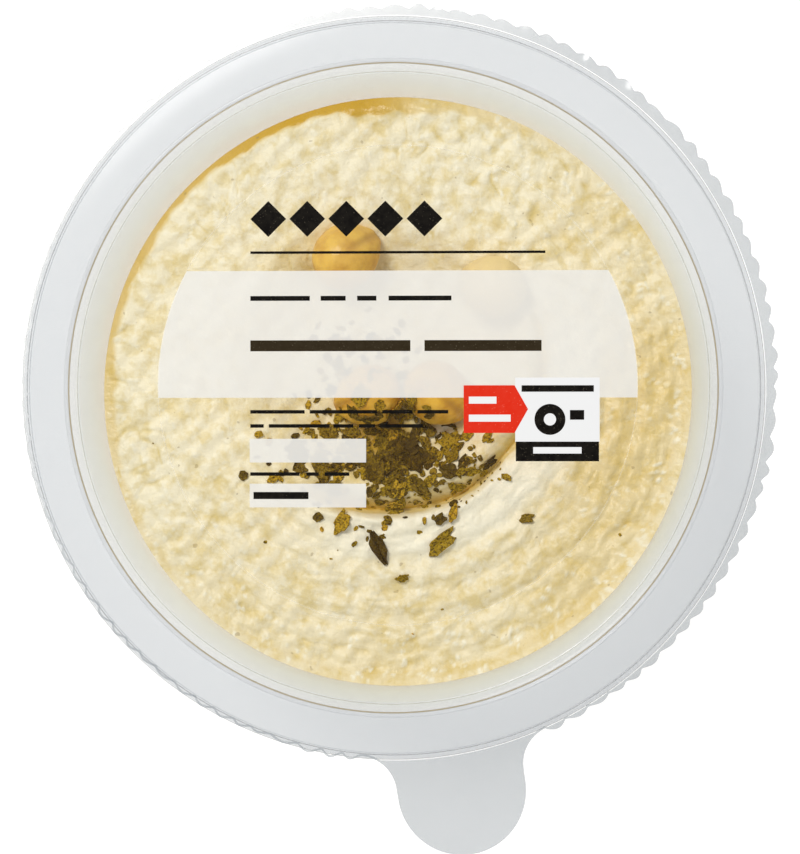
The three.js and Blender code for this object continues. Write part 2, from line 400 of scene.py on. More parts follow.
foot_touch = FOOT_CORNER * (1 - math.sin(DRAFT))
foot_r = inner_radius(foot_touch) + WALL / math.cos(DRAFT) - FOOT_CORNER * math.cos(DRAFT)
lip_r = FLANGE_RADIUS - LIP_THICK
arc_z = TUB_HEIGHT - MOUTH_CORNER
section = [(0, 0)]
section += arc(foot_r, FOOT_CORNER, FOOT_CORNER, -QUARTER, -DRAFT, 10)
section += arc(FLANGE_INNER, arc_z, MOUTH_CORNER - WALL, math.pi - DRAFT, QUARTER, 5)
section += arc(lip_r - 0.3, TUB_HEIGHT - WALL - 0.3, 0.3, QUARTER, 0, 3)
section += [(lip_r, TUB_HEIGHT - LIP_DROP + 0.2), (lip_r + 0.15, TUB_HEIGHT - LIP_DROP)]
section += [(FLANGE_RADIUS - 0.15, TUB_HEIGHT - LIP_DROP), (FLANGE_RADIUS, TUB_HEIGHT - LIP_DROP + 0.2)]
section += arc(lip_r, TUB_HEIGHT - LIP_THICK, LIP_THICK, 0, QUARTER, 6)
section += arc(FLANGE_INNER + RIM_CORNER, TUB_HEIGHT - RIM_CORNER, RIM_CORNER, QUARTER, math.pi, 8)
section += [(FLANGE_INNER - 0.05, TUB_HEIGHT - LEDGE_DROP)]
section += [(mouth_r + 0.25, TUB_HEIGHT - LEDGE_DROP - 0.05)]
section += [(mouth_r, mouth_z)]
section += arc(foot_r, FOOT_CORNER, FOOT_CORNER - WALL, -DRAFT, -QUARTER, 8)
section += [(0, WALL)]
tub = spin_section(section, 192)
print("inner radius at the hummus:", round(inner_radius(34), 2), "mm")

# %% [markdown]
# ## Clear plastic
# Thin clear plastic hardly bends what is seen through it. It shows by its gloss, by a faint milky
# haze, and by darker lines where a wall is seen edge on. So the material is a glossy surface that is
# mostly see-through by its Alpha. Real refraction would be slower and noisier and would look the same.
# Its colour is painted by the distance from the tub's middle, as a painted reflection of what lies
# round it: the paste's cream round the paste, a greenish grey from the paste below above that, and on
# the flange a bluish grey from the room.

# %% Make the tub's plastic
# Each colour is a painted reflection of the paste or the room, not a dye of the plastic.
PAINTED_TUB_REFLECTIONS = (  # distance from the middle in mm, and the colour there
    (44.8, (0.84, 0.78, 0.61, 1)),
    (46.6, (0.54, 0.45, 0.17, 1)),
    (47.1, (0.54, 0.45, 0.17, 1)),
    (47.5, (0.50, 0.485, 0.27, 1)),
    (48.1, (0.485, 0.50, 0.36, 1)),
    (48.6, (0.49, 0.52, 0.44, 1)),
    (49.15, (0.52, 0.55, 0.51, 1)),
    (50.4, (0.54, 0.545, 0.52, 1)),
    (50.9, (0.45, 0.485, 0.52, 1)),
    (57.3, (0.44, 0.475, 0.51, 1)),
)
TINTS_FROM, TINTS_TO = 44.0, 59.0

clear_plastic, shader = new_material("clear_tub_plastic", Roughness=0.16, IOR=1.49, Alpha=0.35)
tree = clear_plastic.node_tree
flat_place = vector_math(tree, "MULTIPLY", place_of(tree), (1 / MM, 1 / MM, 0))
from_middle = vector_math(tree, "LENGTH", flat_place)
painted_tint = tree.nodes.new("ShaderNodeValToRGB")
stops = painted_tint.color_ramp.elements
stops.remove(stops[1])
for k, (r, colour) in enumerate(PAINTED_TUB_REFLECTIONS):
    share = (r - TINTS_FROM) / (TINTS_TO - TINTS_FROM)
    stop = stops.new(share) if k else stops[0]
    stop.position = share
    stop.color = colour
tree.links.new(map_range(tree, from_middle, TINTS_FROM, TINTS_TO), painted_tint.inputs["Fac"])
tree.links.new(painted_tint.outputs["Color"], shader.inputs["Base Color"])
finish_piece(tub, "clear_tub", clear_plastic, ["tub"], math.radians(30))

# %% [markdown]
# Where clear plastic is seen edge on it gathers the colour of the food and shows as a thin line.
# These are painted lines, tinted rings where the wall begins, at the mouth, and at both sides of the
# turned-down edge. Beside the mouth runs the seal, a narrow raised bead that catches the light. Each
# is a slim torus.

# %% Lay the beads along the edges
BEADS = {  # rings of radius and half width in mm, then colour and Alpha
    # the mouth, wall and lip rings are painted lines for plastic seen edge on; the seal is a raised bead
    "mouth_painted_line": (((50.66, 0.12),), (0.40, 0.33, 0.19, 1), 0.55),
    "wall_painted_line": (((49.4, 0.06),), (0.48, 0.47, 0.36, 1), 0.3),
    "seal_bead": (((51.1, 0.34),), (0.72, 0.73, 0.74, 1), 0.4),
    "lip_painted_lines": (((57.2, 0.09), (57.9, 0.06)), (0.34, 0.35, 0.35, 1), 0.36),
}
BEAD_STEPS = 256
BEAD_FLATNESS = 0.5


def join_all(objects):
    """Joins meshes into the first one, after its own place is applied."""
    select_only(objects[0])
    bpy.ops.object.transform_apply(location=True, rotation=True, scale=True)
    for obj in objects:
        obj.select_set(True)
    bpy.ops.object.join()
    return bpy.context.object


def bead_height(r):
    """The beads lie on the flange, on the ledge or on the wall."""
    if r > FLANGE_INNER:
        return TUB_HEIGHT - 0.02
    if r > mouth_r:
        return TUB_HEIGHT - LEDGE_DROP
    return mouth_z - (mouth_r - r) / math.tan(DRAFT)


def lay_bead(r, thick):
    z = bead_height(r)
    deselect_all()
    bpy.ops.mesh.primitive_torus_add(
        location=(0, 0, z * MM), major_segments=BEAD_STEPS, minor_segments=10,
        major_radius=r * MM, minor_radius=thick * MM,
    )
    start_editing()
    bpy.ops.transform.resize(value=(1, 1, BEAD_FLATNESS), center_override=(0, 0, z * MM))
    stop_editing()
    return bpy.context.object


for name, (rings, colour, alpha) in BEADS.items():
    bead_look, shader = new_material(name, Base_Color=colour, Roughness=0.15, Alpha=alpha)
    beads = join_all([lay_bead(r, thick) for r, thick in rings])
    finish_piece(beads, name, bead_look)

# %% [markdown]
# ## The shape of the hummus
# A spoon pressed a well into the hummus and dragged its swirl round it, so there is a smooth hollow, a
# raised lip on the far side of the stroke, and long ridges outside it. Everywhere else the paste is
# grainy, with curds a millimetre or two wide. The solid already has the well, lip and swirl by a
# formula. The same formula comes first here, and noise adds the streaks and curds on top. At the wall
# the paste was pushed down on one side, and on the other it climbs, since paste sticks to plastic.

# %% Describe the surface
LEVEL = 34.0
SOLID_GAP = 0.3  # between the hummus solid and the wall
EDGE_WIDTH, EDGE_PAST = 2.0, 0.5
LOW_SIDE = math.radians(122)  # the paste stands lowest at the wall there and highest across
LOW_CLIMB, HIGH_CLIMB = -1.1, 1.7
EVENED, EVEN_FROM, EVEN_TO = 0.85, 3.5, 0.5  # near the wall the relief loses this share
WELL_X, WELL_Y = -1.5, 4.3
WELL_HALF_X, WELL_HALF_Y = 25.2, 22.5
WELL_DEPTH, WELL_FLOOR, WELL_EDGE = 4.2, 0.52, 1.04  # floor and edge in half widths
LIP_DIRECTION = math.radians(-52)
LIP_FADE = (0.1, 0.75)  # cosines of the turn from the lip's direction, where it begins and is full
LIP_RISE, LIP_REACH, LIP_SPREAD = 1.5, 0.86, 0.13
LIP_CREASE, CREASE_REACH, CREASE_SPREAD = 1.1, 1.03, 0.07
SHALLOWER = 0.35  # the share of the well's depth that is missing under the lip
SWIRL_PITCH, SWIRL_HEIGHT = 5.2, 0.42
SWIRL_START, SWIRL_END, SWIRL_FADE = 23.0, 42.0, 4
SWIRL_FACING = (-0.4, 0.6)
LUMP_HEIGHT, LUMP_LENGTH = 0.22, 5.4


def relief(x, y, bend=0.0, fade=1.0):
    """The solid's own relief over its level, in mm. Bend and fade make its ridges less even."""
    across = (x - WELL_X) / WELL_HALF_X
    along = (y - WELL_Y) / WELL_HALF_Y
    reach = np.hypot(across, along)
    turn = np.arctan2(along, across)
    facing = np.cos(turn - LIP_DIRECTION)
    lip_share = smoothstep(*LIP_FADE, facing)
    bowl = -WELL_DEPTH * (1 - smoothstep(WELL_FLOOR, WELL_EDGE, reach)) * (1 - SHALLOWER * lip_share)
    lip = LIP_RISE * bell((reach - LIP_REACH) / LIP_SPREAD)
    lip = lip - LIP_CREASE * bell((reach - CREASE_REACH) / CREASE_SPREAD)
    radius = np.hypot(x, y)
    ridge = fade * np.cos(2 * np.pi * radius / SWIRL_PITCH - turn + bend)
    zone = smoothstep(SWIRL_START, SWIRL_START + SWIRL_FADE, radius)
    zone = zone * (1 - smoothstep(SWIRL_END - SWIRL_FADE, SWIRL_END, radius))
    swirl = SWIRL_HEIGHT * ridge * zone * smoothstep(*SWIRL_FACING, facing)
    wave = 2 * np.pi / LUMP_LENGTH
    lumps = np.sin(wave * x + 1.3 * np.sin(0.4 * y)) * np.sin(wave * 0.93 * y + 0.9 * np.sin(0.5 * x))
    return bowl + lip_share * lip + swirl + LUMP_HEIGHT * lumps


def paste_height(x, y, bend=0.0, fade=1.0):
    """The height of the paste without its grain, in mm over the tub's foot."""
    wall = inner_radius(LEVEL) - SOLID_GAP
    radius = np.hypot(x, y)
    low_share = 0.5 + 0.5 * np.cos(np.arctan2(y, x) - LOW_SIDE)
    climb = HIGH_CLIMB + (LOW_CLIMB - HIGH_CLIMB) * low_share
    edge = climb * smoothstep(wall - EDGE_WIDTH, wall + EDGE_PAST, radius)
    even = 1 - EVENED * smoothstep(wall - EVEN_FROM, wall - EVEN_TO, radius)
    return LEVEL + relief(x, y, bend, fade) * even + edge


print("deepest point:", round(float(paste_height(np.array(WELL_X), np.array(WELL_Y))), 2), "mm up")

# %% [markdown]
# The fine grain is layered noise. Soft fractal noise makes lumps, cell noise makes rounded curds with
# creases between them and a few pits, and noise that is stretched along the spoon's path makes smooth
# streaks with narrow grooves. The curds are strongest near the wall and weakest in the well, and pale
# granules of pea sit among them. Where the lip folded over, a narrow crease runs round its foot, and
# the lip's face just past it is marked pale too, as painted light.

# %% Describe the grain
CURD, CURD_HEIGHT = 1.8, 0.20
GRANULE, GRANULE_HEIGHT = 1.15, 0.16
SOFT_LUMP, SOFT_LUMP_HEIGHT = 3.4, 0.30
PIT_SPACING, PIT_DEPTH = 3.1, 0.30
STREAK_WIDTH, STREAK_LENGTH, STREAK_HEIGHT = 1.35, 6.0, 0.26
STREAK_RADIUS = 32
DRAG, DRAG_FROM, DRAG_OVER = math.radians(16), 30, 10  # streaks lag by DRAG in each DRAG_OVER mm
CREASE_SPACING, CREASE_DEPTH, CREASE_WIDTH = 4.4, 0.24, 0.045
FOLD_DEPTH, FOLD_WIDTH = 1.2, 0.03
CALM_SIDE = math.radians(150)
WARP_SPACING, WARP_PUSH = 3.4, 0.9
SOME = (-0.05, 0.3)  # noise between these fades something in, so that it is there in places only
GRAIN_SEED = 20

noise.seed_set(GRAIN_SEED)  # without it, noise_vector shifts its pattern by the clock in each run


def noise_at(x, y, spacing, shift):
    """Soft noise from about -1 to 1. Each shift gives another pattern."""
    return noise.noise(Vector((x / spacing, y / spacing, shift)))


def cell_distance(x, y, size, shift):
    """The distance to the nearest of the scattered cell middles, in cell sizes."""
    return noise.voronoi(Vector((x / size, y / size, shift)), distance_metric="DISTANCE")[0][0]


def fold_reach(turn):
    """How far out, in half widths of the well, the lip's crease runs."""
    return 1.05 - 0.06 * smoothstep(-1.13, -0.61, turn)


def roughness(radius, reach, turn, stroked, folded):
    """From 0.2 to 1: the paste is smooth in the well, where it was stroked, and on the calm side."""
    rough = 0.2 + 0.8 * smoothstep(0.7, 1.25, reach)
    rough *= 1 - 0.6 * stroked * (1 - smoothstep(32, 44, radius))
    rough *= 1 - 0.8 * folded * bell((reach - 0.96) / 0.09)
    return rough * (1 - 0.5 * smoothstep(-0.3, 0.8, math.cos(turn - CALM_SIDE)))


def grain(x, y):
    """The height of the fine relief at one place, in mm, and its paleness, from granules and from painted
    light on the lip past its crease.
    """
    radius = math.hypot(x, y)
    reach = math.hypot((x - WELL_X) / WELL_HALF_X, (y - WELL_Y) / WELL_HALF_Y)
    turn = math.atan2(y - WELL_Y, x - WELL_X)
    facing = math.cos(turn - LIP_DIRECTION)
    stroked = smoothstep(-0.35, 0.6, facing) * smoothstep(0.8, 1.1, reach)
    folded = smoothstep(*LIP_FADE, facing)
    rough = roughness(radius, reach, turn, stroked, folded)
    warp = noise.noise_vector(Vector((x / WARP_SPACING, y / WARP_SPACING, 7.0)))
    bent_x = x + WARP_PUSH * warp[0]
    bent_y = y + WARP_PUSH * warp[1]

    patch = 0.5 + 0.5 * noise_at(x, y, 6.5, 3.3)
    curd = 1 - 2.2 * cell_distance(bent_x, bent_y, CURD, 0.2) ** 2
    sparse = smoothstep(*SOME, noise_at(x, y, 2.9, 6.1))
    near = cell_distance(bent_x, bent_y, GRANULE, 5.1)
    granule = smoothstep(0.44, 0.25, near) * sparse * (0.3 + 0.7 * rough)
    height = rough * (0.4 + 0.9 * patch) * CURD_HEIGHT * curd + GRANULE_HEIGHT * granule
    pit = smoothstep(0.34, 0.05, cell_distance(bent_x, bent_y, PIT_SPACING, 2.6))
    height -= rough * patch * patch * PIT_DEPTH * pit
    soft = noise.fractal(Vector((x / SOFT_LUMP, y / SOFT_LUMP, 1.7)), 1.0, 2.0, 3)
    height += SOFT_LUMP_HEIGHT * soft * (0.3 + 0.7 * rough)
    line = bell(noise_at(bent_x, bent_y, CREASE_SPACING, 11.3) / CREASE_WIDTH)
    broken = smoothstep(*SOME, noise_at(x, y, 6.0, 12.9))
    height -= CREASE_DEPTH * line * broken * smoothstep(0.6, 1.0, reach) * (1 - stroked)

    along = (turn + DRAG * (radius - DRAG_FROM) / DRAG_OVER) * STREAK_RADIUS / STREAK_LENGTH
    place = Vector((radius / STREAK_WIDTH + 0.5 * warp[0], along, 9.4))
    streak = 1.9 * abs(noise.noise(place)) + 0.8 * abs(noise.noise(place * 2.1)) - 0.42
    height += STREAK_HEIGHT * streak * (0.08 + 0.92 * stroked)
    past = reach - fold_reach(turn)
    fold = 0.3 * bell((past + 0.12) / 0.06) + 0.6 * bell((past - 0.075) / 0.05)
    height += folded * (fold - FOLD_DEPTH * bell(past / FOLD_WIDTH))
    # past the crease the lip is made pale: painted light on its face towards the lamp
    beyond = smoothstep(0.02, 0.08, past) * (1 - smoothstep(0.26, 0.44, past))
    return height, max(granule, folded * beyond)


print("grain at the wall:", round(grain(0.0, 45.0)[0], 3), "mm")

# %% [markdown]
# ## The hummus
# The paste is one body that fills the tub. A flat grid is wrapped to a disc so that its squares stay
# about the same size everywhere, which shows small curds equally well in the middle and at the wall.
# Its edge is extruded down the wall and round the foot, and the last loop is filled.

# %% Build the body of hummus
GRID = 284
TOUCH = 0.06  # the paste touches the wall but doesn't stand in it

deselect_all()
bpy.ops.mesh.primitive_grid_add(x_subdivisions=GRID, y_subdivisions=GRID, size=2)
paste = bpy.context.object
square = points_of(paste) * MM
sx, sy = square[:, 0], square[:, 1]
wide = np.abs(sx) >= np.abs(sy)
ratio = np.where(wide, sy / np.where(sx == 0, 1, sx), sx / np.where(sy == 0, 1, sy))
quarter_turn = ratio * math.pi / 4
top_radius = inner_radius(LEVEL) - TOUCH
lead = np.where(wide, sx, sy)
px = np.where(wide, lead * np.cos(quarter_turn), lead * np.sin(quarter_turn)) * top_radius
py = np.where(wide, lead * np.sin(quarter_turn), lead * np.cos(quarter_turn)) * top_radius
set_points(paste, np.column_stack([px, py, np.full(len(px), LEVEL)]))

start_editing("SELECT")
bpy.ops.mesh.region_to_loop()
foot_arc = arc(foot_r, FOOT_CORNER, FOOT_CORNER - WALL - TOUCH, -DRAFT, -QUARTER, 5)
wall_steps = [(inner_radius(z) - TOUCH, z) for z in (31.0, 27.0, 22.0, 16.0, 10.0)]
from_r, from_z = top_radius, LEVEL
for r, z in wall_steps + foot_arc:
    bpy.ops.mesh.extrude_region_move(TRANSFORM_OT_translate={"value": (0, 0, (z - from_z) * MM)})
    bpy.ops.transform.resize(value=(r / from_r, r / from_r, 1), center_override=(0, 0, 0))
    from_r, from_z = r, z
bpy.ops.mesh.edge_face_add()
bpy.ops.mesh.select_all(action="SELECT")
bpy.ops.mesh.normals_make_consistent(inside=False)
stop_editing()
body = points_of(paste)
print("hummus points:", len(body), "lowest", round(float(body[:, 2].min()), 2), "mm")

# %% [markdown]
# Oil gathers in soft patches and in an uneven ring along the wall. The same map also holds painted
# shade: on the inner flank of the folded lip, as the painted shadow of the band's end and the printed
# block, on the lower right, and along the wall on that side. A function says how much there is at each
# place, from soft spots that are added up.

# %% Say where the oil gathers
# Painted shadow and shade: the spots at (41, 2) and (35, -13) stand for the print's shadow, and those on
# the lower right darken the side away from the light as well as adding oil.
OIL_AND_SHADE_SPOTS = (  # x, y, spread and strength, in mm
    (41.0, 2.0, 12.0, 0.62),
    (35.0, -13.0, 10.0, 0.5),
    (31.0, -31.0, 14.0, 0.52),
    (0.0, -47.0, 16.0, 0.4),
    (-30.0, -36.0, 13.0, 0.3),
    (34.0, 28.0, 10.0, 0.3),
    (-5.0, 46.0, 6.0, 0.4),
    (-1.0, -8.0, 11.0, 0.45),
    (-3.0, -5.5, 6.0, 0.8),
    (-12.0, -14.0, 9.0, 0.25),
    (-10.0, 22.0, 6.0, 0.5),
    (-18.0, 20.0, 3.5, 0.35),
    (15.0, 17.0, 6.0, 0.3),
)
# The ring is partly oil and partly painted shade, as on the lower right and where the paste climbs.
RIM_TURNS = (-180, -135, -90, -45, 0, 50, 75, 90, 110, 135, 160)
RIM_WIDTHS = (1.7, 1.0, 2.0, 2.2, 1.0, 1.0, 2.2, 2.9, 1.9, 1.5, 1.5)
RIM_SHARES = (0.72, 0.15, 0.4, 0.4, 0.1, 0.05, 0.55, 0.8, 1.0, 0.86, 0.8)
RIM_WAVES = ((0.16, 0.21, 1), (0.12, 0.47, 0), (0.1, 1.1, 0))  # share, turns for a degree, start


def flank_share(x, y):
    """Where the inner flank of the folded lip is, up to its crease."""
    across, along = (x - WELL_X) / WELL_HALF_X, (y - WELL_Y) / WELL_HALF_Y
    turn = np.arctan2(along, across)
    past = np.hypot(across, along) - fold_reach(turn)
    band = smoothstep(-0.16, -0.04, past) * (1 - smoothstep(-0.005, 0.02, past)) + 0.5 * bell(past / 0.014)
    return smoothstep(*LIP_FADE, np.cos(turn - LIP_DIRECTION)) * band


def rim_share(x, y):
    """Where oil and painted shade stand along the wall, unevenly."""
    turn = np.degrees(np.arctan2(y, x))
    width = np.interp(turn, RIM_TURNS, RIM_WIDTHS, period=360)
    share = np.interp(turn, RIM_TURNS, RIM_SHARES, period=360)
    width = width * (1 + sum(swing * np.sin(pace * turn + start) for swing, pace, start in RIM_WAVES))
    return share * smoothstep(top_radius - width - 0.5, top_radius - width + 0.35, np.hypot(x, y))


def oil_and_shade_at(x, y):
    """From 0, plain paste, to 1, the most oil and painted shade."""
    # the lip's inner flank gets painted shade
    oil_and_shade_sum = 0.6 * flank_share(x, y)
    for spot_x, spot_y, spread, strength in OIL_AND_SHADE_SPOTS:
        oil_and_shade_sum += strength * bell(np.hypot(x - spot_x, y - spot_y) / spread)
    return np.clip(np.maximum(oil_and_shade_sum, 0.3 * oil_and_shade_sum + rim_share(x, y)), 0, 1)


print("oil in the middle of the well:", round(float(oil_and_shade_at(WELL_X, WELL_Y)), 2))

# %% [markdown]
# Now the top is raised by the two formulas. The grain is also stored as a number on each point, so
# that the creases can be painted darker and more golden than the tops of the curds, as painted shade.
# Beside the wall the grain fades out, and the outermost points stay on the wall.

# %% Raise the well, the swirl and the curds
SMOOTH_FROM, SMOOTH_TO = 1.6, 0.2  # mm from the wall, where the grain fades
SMOOTHED = 0.9


def unevenness(x, y):
    """How far the swirl's ridges wander at a place, and how much of them is left."""
    return 2.2 * noise_at(x, y, 13, 4.4), 0.55 + 0.6 * noise_at(x, y, 11, 8.8)


on_top = body[:, 2] > LEVEL - 0.01
x, y = body[on_top, 0], body[on_top, 1]
radius = np.hypot(x, y)
fine_relief, granules_and_lit_lip = np.array([grain(a, b) for a, b in zip(x, y)]).T
bend, fade = np.array([unevenness(a, b) for a, b in zip(x, y)]).T
settle = 1 - SMOOTHED * smoothstep(top_radius - SMOOTH_FROM, top_radius - SMOOTH_TO, radius)
height = paste_height(x, y, bend, fade) + fine_relief * settle
at_wall = radius > top_radius - 0.02
scale = np.where(at_wall, (inner_radius(height) - TOUCH) / np.maximum(radius, 1), 1)
body[on_top] = np.column_stack([x * scale, y * scale, height])
set_points(paste, body)
for name, values in (("grain", fine_relief), ("granule", granules_and_lit_lip)):
    on_body = np.zeros(len(body))
    on_body[on_top] = values
    keep_number(paste, name, on_body)
keep_number(paste, "oil_and_shade", oil_and_shade_at(body[:, 0], body[:, 1]) * on_top)
print("top from", round(float(height.min()), 2), "to", round(float(height.max()), 2), "mm")

# %% [markdown]
# ## Hummus as a material
# Hummus is a moist paste: pale cream on the curds, with a soft broken shine from its oil. The colour
# follows the stored grain, painted darker and golden in the creases as painted shade, with larger
# patches from noise. The stored map of oil and painted shade adds gold in patches and in a ring along
# the wall. Granules of pea are paler, and so is the lip past its crease, by painted light. A few dark
# specks are bits of pea skin and spice. Curds below the mesh's size come from a bump, and paste where
# that map is high is smoother, so it shines more.

# %% Mix the hummus
PASTE_PALE = (0.985, 0.93, 0.74, 1)
PASTE_CREAM = (0.96, 0.875, 0.635, 1)
PASTE_GOLD = (0.75, 0.585, 0.21, 1)
OIL_AND_SHADE_GOLD = (0.75, 0.53, 0.13, 1)
OIL_AND_SHADE_DEEP = (0.64, 0.38, 0.03, 1)
SPECK = (0.34, 0.24, 0.10, 1)

hummus_look, shader = new_material("hummus_paste", IOR=1.42)
tree = hummus_look.node_tree
where = place_of(tree)
bent = bent_place(tree, where, 500, 0.0012)
# painted shade: the low places of the grain turn darker gold
crease_shade = map_range(tree, stored_number(tree, "grain"), 0.02, -0.34, 0.0, 0.85)
colour = mix_colours(tree, crease_shade, PASTE_CREAM, PASTE_GOLD)
mottle = map_range(tree, add_noise(tree, bent, 400, 5.0, 0.6), 0.45, 0.66, 0.0, 0.66)
colour = mix_colours(tree, mottle, colour, PASTE_GOLD)
# the map mixes in gold for oil and for painted shade alike
oil_and_shade = map_range(tree, stored_number(tree, "oil_and_shade"), 0.0, 1.0, 0.0, 0.9)
colour = mix_colours(tree, oil_and_shade, colour, OIL_AND_SHADE_GOLD)
colour = mix_colours(tree, map_range(tree, oil_and_shade, 0.65, 0.9), colour, OIL_AND_SHADE_DEEP)
# granules are pale paste; the lip past its crease is pale by painted light
pale = do_math(tree, "MULTIPLY", stored_number(tree, "granule"), 0.8)
pale = do_math(tree, "MULTIPLY", pale, map_range(tree, oil_and_shade, 0.45, 0.75, 1.0, 0.0))
colour = mix_colours(tree, pale, colour, PASTE_PALE)
specks = map_range(tree, add_noise(tree, where, 700, 1.0), 0.755, 0.775, 0.0, 0.45)
colour = mix_colours(tree, specks, colour, SPECK)
tree.links.new(colour, shader.inputs["Base Color"])
tree.links.new(map_range(tree, oil_and_shade, 0.0, 0.8, 0.46, 0.27), shader.inputs["Roughness"])
fine_curds = add_noise(tree, bent, 1300, 3.0, 0.6)
tree.links.new(add_bump(tree, fine_curds, 0.4 * MM, 0.45), shader.inputs["Normal"])
finish_piece(paste, "hummus_paste", hummus_look, ["hummus"], math.radians(80))

# %% [markdown]
# ## The chickpeas
# A cooked chickpea is a slightly long ball with a beak at one end and a furrow that runs back from
# it. Its skin is smooth but a little wrinkled. A sphere is pushed into that form by its angle from the
# beak, turned, sunk into the paste where the photo shows it, and wrinkled by a Displace modifier.

# %% Model the chickpeas
CHICKPEAS = (
    {"x": -7.8, "y": 21.1, "radius": 5.2, "turn": 35, "sunk": 2.2, "pale": 0.15},
    {"x": 15.7, "y": 16.1, "radius": 5.0, "turn": 160, "sunk": 2.0, "pale": 0.8},
    {"x": 6.6, "y": -0.6, "radius": 5.1, "turn": -40, "sunk": 1.6, "pale": 0.0},
    {"x": -4.2, "y": -1.0, "radius": 5.0, "turn": 200, "sunk": 1.6, "pale": 0.0},
)
LONG, WIDE, HIGH = 1.06, 0.97, 0.94
BEAK, BEAK_WIDTH = 0.17, 0.36
FURROW, FURROW_WIDTH = 0.06, 0.16
BEAK_DIP = 0.25  # the beak points down by this angle
WRINKLE_HEIGHT = 0.35

wrinkles = bpy.data.textures.new("skin_wrinkles", "CLOUDS")
wrinkles.noise_scale = 0.0022
wrinkles.noise_depth = 2


def middle_height(pea):
    """How high a chickpea's middle lies, in mm."""
    return float(paste_height(np.array(pea["x"]), np.array(pea["y"]))) + pea["radius"] * HIGH - pea["sunk"]


def model_chickpea(pea):
    deselect_all()
    bpy.ops.mesh.primitive_ico_sphere_add(subdivisions=6, radius=MM)
    ball = bpy.context.object
    unit = points_of(ball)
    to_beak = np.arccos(np.clip(unit[:, 0], -1, 1))
    furrow = FURROW * bell(unit[:, 1] / FURROW_WIDTH) * smoothstep(-0.6, 0.5, unit[:, 0])
    grown = 1 + BEAK * bell(to_beak / BEAK_WIDTH) - furrow
    keep_number(ball, "furrow", furrow / FURROW)
    keep_number(ball, "paleness", np.full(len(unit), pea["pale"]))
    set_points(ball, unit * np.array([LONG, WIDE, HIGH]) * (grown * pea["radius"])[:, None])
    z = middle_height(pea)
    turned = Matrix.Rotation(math.radians(pea["turn"]), 4, "Z") @ Matrix.Rotation(BEAK_DIP, 4, "Y")
    ball.matrix_world = Matrix.Translation(Vector((pea["x"], pea["y"], z)) * MM) @ turned
    bpy.ops.object.transform_apply(location=True, rotation=True, scale=True)
    ripple = ball.modifiers.new("wrinkles", "DISPLACE")
    ripple.texture = wrinkles
    ripple.texture_coords = "LOCAL"
    ripple.strength = WRINKLE_HEIGHT * MM
    ripple.mid_level = 0.5
    bpy.ops.object.modifier_apply(modifier=ripple.name)
    return ball


peas = [model_chickpea(pea) for pea in CHICKPEAS]
print("chickpea tops at", [round(float(points_of(p)[:, 2].max()), 1) for p in peas], "mm")

# %% [markdown]
# The skin is golden and mottled, with painted shade darkening the furrow. It shines more than the
# paste does, so its roughness is lower. One pea is paler, and keeps that as a number.

# %% Make the chickpea skin
SKIN_LIGHT = (0.90, 0.54, 0.06, 1)
SKIN_DEEP = (0.66, 0.32, 0.02, 1)
SKIN_FURROW_SHADE = (0.44, 0.20, 0.02, 1)
SKIN_PALE = (0.88, 0.72, 0.38, 1)

skin, shader = new_material("chickpea_skin", Roughness=0.36, Specular_IOR_Level=0.35)
tree = skin.node_tree
where = place_of(tree)
mottle = map_range(tree, add_noise(tree, where, 320), 0.38, 0.66)
colour = mix_colours(tree, mottle, SKIN_LIGHT, SKIN_DEEP)
# painted shade in the furrow
furrow_shade = map_range(tree, stored_number(tree, "furrow"), 0.2, 1.0, 0.0, 0.6)
colour = mix_colours(tree, furrow_shade, colour, SKIN_FURROW_SHADE)
colour = mix_colours(tree, stored_number(tree, "paleness"), colour, SKIN_PALE)
tree.links.new(colour, shader.inputs["Base Color"])
for i, ball in enumerate(peas):
    name = f"chickpea_{i + 1}"
    finish_piece(ball, "whole_" + name, skin, [name], math.radians(80))

# %% [markdown]
# ## Chopped herbs
# Dried herb is crumbled leaf: flat, angular, slightly cupped scraps, from dust up to 6 mm. The solid
# carries the larger ones, and the rule that laid them there gives their places here too. Finer ones
# follow, most of them heaped over the middle. All draws come from a seed, so each run is the same.

# %% Find the places of the larger flakes
LEAVES = (  # x, y, length, width and turn in degrees
    (-2.7, -25.1, 6.4, 2.5, -65),
    (7.3, -24.5, 6.2, 2.6, 48),
    (-8.4, -21.3, 4.0, 2.8, 60),
    (9.2, -19.8, 3.5, 1.5, 75),
    (20.9, -20.7, 2.7, 1.6, 15),
    (10.9, -11.6, 2.5, 1.7, 50),
    (11.4, -7.5, 2.4, 2.2, 20),
    (7.2, -20.7, 2.4, 1.8, 60),
    (1.2, -30.0, 2.2, 1.6, 10),
    (-0.9, -19.1, 2.2, 1.7, 80),
    (17.7, -14.0, 1.9, 1.3, -10),
    (-12.3, -20.4, 1.8, 1.5, 30),
)
HERB_GROUPS = (  # x, y, spread in x and in y, count
    (-0.8, -10.6, 5.4, 3.6, 26),
    (-9.5, -12.5, 7.0, 4.5, 10),
)
SHORTEST, LONGEST, APART = 1.3, 2.8, 1.3
PEA_GAP = 0.3
HERB_SEED = 20261


def draws_from(seed):
    """The same draws between 0 and 1 in the same order each time."""
    state = seed
    while True:
        state = state * 16807 % 2147483647
        yield state / 2147483647


def scatter(draw, x, y, spread_x, spread_y):
    """One place of a group: how far out it is in spreads, and its x and y."""
    away = math.sqrt(-2 * math.log(1 - next(draw)))
    angle = 2 * math.pi * next(draw)
    return away, x + spread_x * away * math.cos(angle), y + spread_y * away * math.sin(angle)


def is_free(x, y, length, laid):
    for pea in CHICKPEAS:
        if math.hypot(x - pea["x"], y - pea["y"]) <= pea["radius"] * 1.2 + PEA_GAP + length / 2:
            return False
    return all(math.hypot(x - flake[0], y - flake[1]) > APART + flake[2] / 4 for flake in laid)


